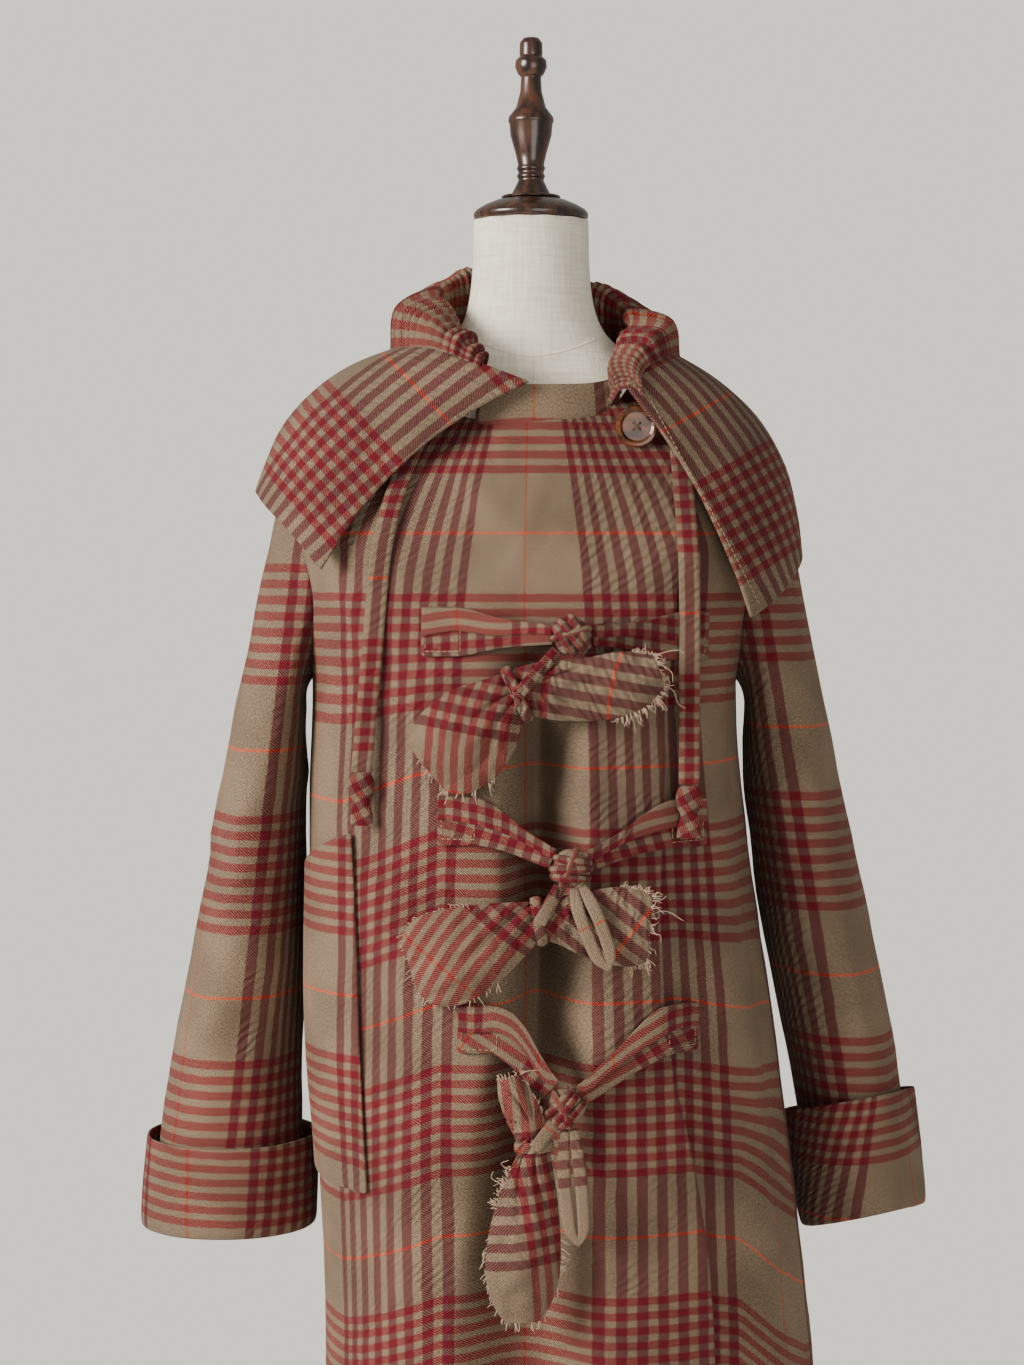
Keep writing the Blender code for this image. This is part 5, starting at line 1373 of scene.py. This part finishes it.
@dataclass
class LooseThreads:
    """Frayed threads that stand out of a torn edge."""

    finish: bpy.types.Material

    def fringe(self, name: str, piece: bpy.types.Object, middle: tuple, spans: tuple, seed: int) -> None:
        """Threads out of a rag's torn edge.

        The edge is the furthest vertex in each small step of the angle round the middle. From it each
        thread runs outwards, with a random length, sway and droop.

        Args:
            name: the fringe's name.
            piece: the rag.
            middle: a place inside the rag in the front view.
            spans: (first angle, last angle, count, longest) of each torn stretch, in degrees and metres.
            seed: picks the random threads.
        """
        points = np.empty(len(piece.data.vertices) * 3)
        piece.data.vertices.foreach_get("co", points)
        points = points.reshape(-1, 3)
        gap = points[:, [0, 2]] - np.array(middle)
        angle, reach = np.degrees(np.arctan2(gap[:, 1], gap[:, 0])) % 360.0, np.linalg.norm(gap, axis=1)
        chance = np.random.default_rng(seed)
        ends = []
        for first, last, count, longest in spans:
            for way in chance.uniform(first, last, count):
                near = np.abs((angle - way + 180.0) % 360.0 - 180.0) < 3.0
                if not near.any():
                    continue
                root = points[near][np.argmax(reach[near])]
                length = longest * (0.25 + 0.75 * chance.random() ** 3)
                out = math.radians(way + chance.normal(0.0, 22.0))
                step = np.array([math.cos(out), chance.normal(-0.15, 0.15), math.sin(out)]) * length / 3
                sway = chance.normal(0.0, 0.16, (3, 3)) * length
                path = root + np.arange(-0.4, 2.7, 1.0)[:, None] * step
                path[1:] += sway * np.array([0.4, 0.7, 1.0])[:, None]
                path[:, 2] -= np.array([0.0, 0.02, 0.10, 0.28]) * length
                ends.append(path)
        self.tuft(name, tuple(ends))

    def tuft(self, name: str, ends: tuple, radius: float = 0.0004) -> None:
        """Threads along smooth curves.

        Args:
            name: the tuft's name.
            ends: for each thread, its points.
            radius: the yarn's radius.
        """
        taper = np.linspace(radius, radius * 0.6, 12)
        grids = [tube_grid(through(np.array(points), 12), taper, 6) for points in ends]
        points, faces = join_grids(grids)
        face_mesh(name, points, faces, self.finish, Slot.WOOL)


@dataclass
class Trimmings:
    """All rows of stitches, and the frayed threads of the rags."""

    pieces: dict
    borders: tuple = (
        ("collar_right_wing", "collar_fall",
         ((-0.020, 1.3405), (-0.060, 1.3035), (-0.120, 1.2475), (-0.183, 1.1905))),
        ("collar_left_wing", "collar_fall",
         ((0.0985, 1.3420), (0.130, 1.2820), (0.165, 1.2180), (0.1965, 1.1560))),
        ("pocket_seam", "right_pocket", ((-0.1475, 0.9050), (-0.1490, 0.8000), (-0.1390, 0.6600))),
        ("right_front_edge", "right_front", ((0.1480, 1.0900), (0.1540, 0.9600))),
    )
    tabs: tuple = (
        ("top_tie_right", -0.0910, -0.0610, 1.1345, 0.0165), ("top_tie_left", 0.1265, 0.1495, 1.1300, 0.0165),
        ("middle_tie_right", -0.0770, -0.0490, 0.9760, 0.0165),
        ("middle_tie_left", 0.1200, 0.1480, 0.9710, 0.0165),
        ("bottom_tie_right", -0.0600, -0.0300, 0.7990, 0.0165),
        ("bottom_tie_left", 0.1170, 0.1400, 0.7970, 0.0165),
    )
    frayed: tuple = (
        ("top_rag", (-0.050, 1.055), ((215, 300, 26, 0.012),)),
        ("top_rag", (0.075, 1.095), ((-100, 70, 150, 0.011), (-80, 40, 9, 0.040))),
        ("middle_rag", (-0.045, 0.885), ((110, 290, 44, 0.009),)),
        ("middle_rag", (0.070, 0.895), ((-80, 80, 110, 0.010), (-60, 60, 8, 0.034))),
        ("bottom_rag", (-0.010, 0.640), ((200, 340, 60, 0.010), (60, 150, 90, 0.012), (80, 130, 7, 0.030))),
    )

    def make(self) -> None:
        """Sew the rows and fray the rags."""
        stitching = Stitching(SpunThread("sewing thread", "#9A7F66").make())
        for name, node, line in self.borders:
            stitching.row(f"{name}_stitches", front_surface([self.pieces[node]]), line)
        for node, left, right, z, half in self.tabs:
            low, high = z - half, z + half
            box = ((left, low), (right, low), (right, high), (left, high), (left, low))
            stitching.row(f"{node}_stitches", front_surface([self.pieces[node]]), box)
        threads = LooseThreads(SpunThread("frayed wool", "#BBA48C").make())
        for index, (node, middle, spans) in enumerate(self.frayed):
            threads.fringe(f"{node}_threads_{index}", self.pieces[node], middle, spans, 90 + index)


# ---------------------------------------------------------------- form and stand
@dataclass
class DressForm:
    """The limbless form with its turned cap, finial, pole and base."""

    linen: bpy.types.Material
    walnut: bpy.types.Material
    seams: tuple = (
        ("neck_seam", ((-0.047, 1.3890), (-0.025, 1.3800), (0.002, 1.3755), (0.032, 1.3810), (0.058, 1.3915))),
        ("centre_front_seam", ((0.002, 1.3755), (0.002, 1.3620), (0.002, 1.3480))),
    )
    outlines: dict = field(default_factory=lambda: {
        "form_neck_cap": (
            (0, 1.5195), (0.027, 1.519), (0.032, 1.5178), (0.0415, 1.5138), (0.049, 1.5095),
            (0.0518, 1.506), (0.0515, 1.5025), (0.0495, 1.5), (0, 1.5),
        ),
        "form_finial": (
            (0, 1.664), (0.007, 1.6628), (0.0102, 1.6585), (0.0104, 1.649), (0.01, 1.6465),
            (0.0138, 1.643), (0.0144, 1.637), (0.0118, 1.631), (0.009, 1.628), (0.0098, 1.615),
            (0.0135, 1.601), (0.02, 1.5925), (0.0207, 1.589), (0.0194, 1.5862), (0.0186, 1.576),
            (0.014, 1.56), (0.0117, 1.55), (0.013, 1.5465), (0.0112, 1.543), (0.013, 1.5395),
            (0.0112, 1.5365), (0.015, 1.5285), (0.018, 1.523), (0.0262, 1.5222), (0.0268, 1.52),
            (0, 1.5198),
        ),
        "form_plate": (
            (0, 0.7297), (0.094, 0.7297), (0.098, 0.723), (0.092, 0.717), (0, 0.717),
        ),
        "stand_pole": (
            (0, 0.7167), (0.03, 0.7167), (0.03, 0.708), (0.018, 0.698), (0.016, 0.44),
            (0.0215, 0.43), (0.0215, 0.415), (0.017, 0.405), (0.0185, 0.085), (0.03, 0.05),
            (0.034, 0.0403), (0, 0.0403),
        ),
        "stand_base": (
            (0, 0.04), (0.05, 0.04), (0.06, 0.034), (0.145, 0.026), (0.168, 0.018),
            (0.175, 0.006), (0.172, 0), (0, 0),
        ),
    })

    def make(self) -> None:
        """Dress the torso in linen and the turned pieces in walnut."""
        mesh, _ = merged_copy("form_torso", 2)
        mesh.materials.clear()
        mesh.materials.append(self.linen)
        mesh.shade_smooth()
        torso = bpy.data.objects.new("form_torso_linen", mesh)
        bpy.context.scene.collection.objects.link(torso)
        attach(torso, ROOT)
        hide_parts("form_torso")
        surface = front_surface([torso])
        for name, line in self.seams:
            flat = through(np.array([(x, 0.0, z) for x, z in line]), 60)
            spots = [drop_on(surface, x, z) for x, _, z in flat]
            path = np.array([list(spot) for spot in spots if spot is not None])
            piece = face_mesh(name, *join_grids([tube_grid(path, 0.0007, 8)]), self.linen, Slot.LINEN)
            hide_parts("form_torso")
        for node, outline in self.outlines.items():
            piece = turned(f"{node}_walnut", outline, 72, self.walnut, Slot.WALNUT)
            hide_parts(node)


@dataclass
class Button:
    """The horn button on the right front, with its sewing thread."""

    horn: bpy.types.Material
    thread: bpy.types.Material
    x: float = 0.0915
    z: float = 1.3115
    hole: float = 0.0038

    def make(self) -> None:
        """Give the button its finish and sew it on with two crossed bars of thread over its face."""
        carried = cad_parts["button"]
        carried.data.materials.clear()
        carried.data.materials.append(self.horn)
        places = vertex_places(carried)
        inside = np.hypot(places[:, 0] - self.x, places[:, 2] - self.z) < 0.010
        face = places[inside, 1].min()
        grids = []
        for turn in (0.25, 0.75):
            for shift in np.linspace(-0.0007, 0.0007, 3):
                way = np.array([math.cos(turn * math.pi), math.sin(turn * math.pi)])
                share = np.linspace(-1.0, 1.0, 9)
                path = np.stack([self.x + share * self.hole * way[0] - shift * way[1],
                                 face + 0.0009 * share**4 - 0.0006 - 0.0003 * (turn > 0.5) * (1 - share**2),
                                 self.z + share * self.hole * way[1] + shift * way[0]], axis=1)
                grids.append(tube_grid(path, 0.00042, 8))
        points, faces = join_grids(grids)
        face_mesh("button_thread", points, faces, self.thread, Slot.WOOL)


# ---------------------------------------------------------------- studio
@dataclass
class Studio:
    """Camera at the photograph's place, a pale floor and soft light."""

    eye: tuple = (-0.0171, -2.644, 1.205)
    pitch: float = math.radians(2.62)
    focal: float = 2920.0
    image_height: float = 1365.0

    def camera(self) -> None:
        """A camera whose focal length in pixels is fitted to the photograph."""
        lens = bpy.data.cameras.new("camera")
        lens.sensor_fit = "VERTICAL"
        lens.sensor_height = 36.0
        lens.lens = self.focal / self.image_height * 36.0
        made = bpy.data.objects.new("camera", lens)
        made.location = self.eye
        made.rotation_euler = (math.pi / 2 - self.pitch, 0.0, 0.0)
        bpy.context.scene.collection.objects.link(made)
        bpy.context.scene.camera = made

    def floor(self, radius: float = 1.5, sides: int = 96) -> None:
        """A round pale floor under the stand. It ends behind the stand, below the photograph's lower edge."""
        angle = np.linspace(0.0, 2 * math.pi, sides, endpoint=False)
        points = np.stack([radius * np.cos(angle), radius * np.sin(angle), np.full(sides, -0.0005)], axis=1)
        mesh = bpy.data.meshes.new("floor")
        mesh.from_pydata(points.tolist(), [], [list(range(sides))])
        mesh.materials.append(PaintedFloor().make())
        made = bpy.data.objects.new("floor", mesh)
        bpy.context.scene.collection.objects.link(made)

    def lamp(self, name: str, place: tuple, aim: tuple, size: float, power: float, colour: str) -> None:
        """A square soft lamp that looks at a point."""
        light = bpy.data.lights.new(name, "AREA")
        light.shape = "SQUARE"
        light.size = size
        light.energy = power
        light.color = linear(colour)[:3]
        made = bpy.data.objects.new(name, light)
        made.location = place
        made.rotation_euler = (Vector(aim) - Vector(place)).to_track_quat("-Z", "Y").to_euler()
        bpy.context.scene.collection.objects.link(made)

    def light(self) -> None:
        """A pale room, brighter to look at than the light it gives, with a soft window and a weak fill."""
        world = bpy.data.worlds.new("studio")
        world.use_nodes = True
        tree = world.node_tree
        given = tree.nodes["Background"]
        given.inputs[0].default_value = linear("#E2DED6")
        given.inputs[1].default_value = 0.50
        seen = add_node(tree, "ShaderNodeBackground", {0: linear("#E3DED2"), 1: 1.42})
        looked_at = add_node(tree, "ShaderNodeLightPath").outputs["Is Camera Ray"]
        both = add_node(tree, "ShaderNodeMixShader", {0: looked_at, 1: given.outputs[0], 2: seen.outputs[0]})
        tree.links.new(both.outputs[0], tree.nodes["World Output"].inputs["Surface"])
        bpy.context.scene.world = world
        self.lamp("window", (-2.9, -1.9, 2.0), (0.1, 0.1, 0.9), 1.6, 220.0, "#FFF8F0")
        self.lamp("fill", (1.0, -3.0, 0.9), (0.1, 0.0, 0.55), 1.8, 33.0, "#FFFAF2")


def main() -> None:
    """Build the studio, the form, the coat and its trimmings."""
    logging.basicConfig(level=logging.INFO, format="%(message)s")
    studio = Studio()
    studio.camera()
    studio.floor()
    studio.light()
    wool = BrushedTwill().make()
    DressForm(FormLinen().make(), PolishedWalnut().make()).make()
    Button(BuffaloHorn().make(), SpunThread("button thread", "#5A4636").make()).make()
    coat = Coat(wool)
    coat.panels()
    coat.sleeves()
    coat.collar()
    coat.ties()
    coat.straps()
    Trimmings(coat.pieces).make()


if __name__ == "__main__":
    main()
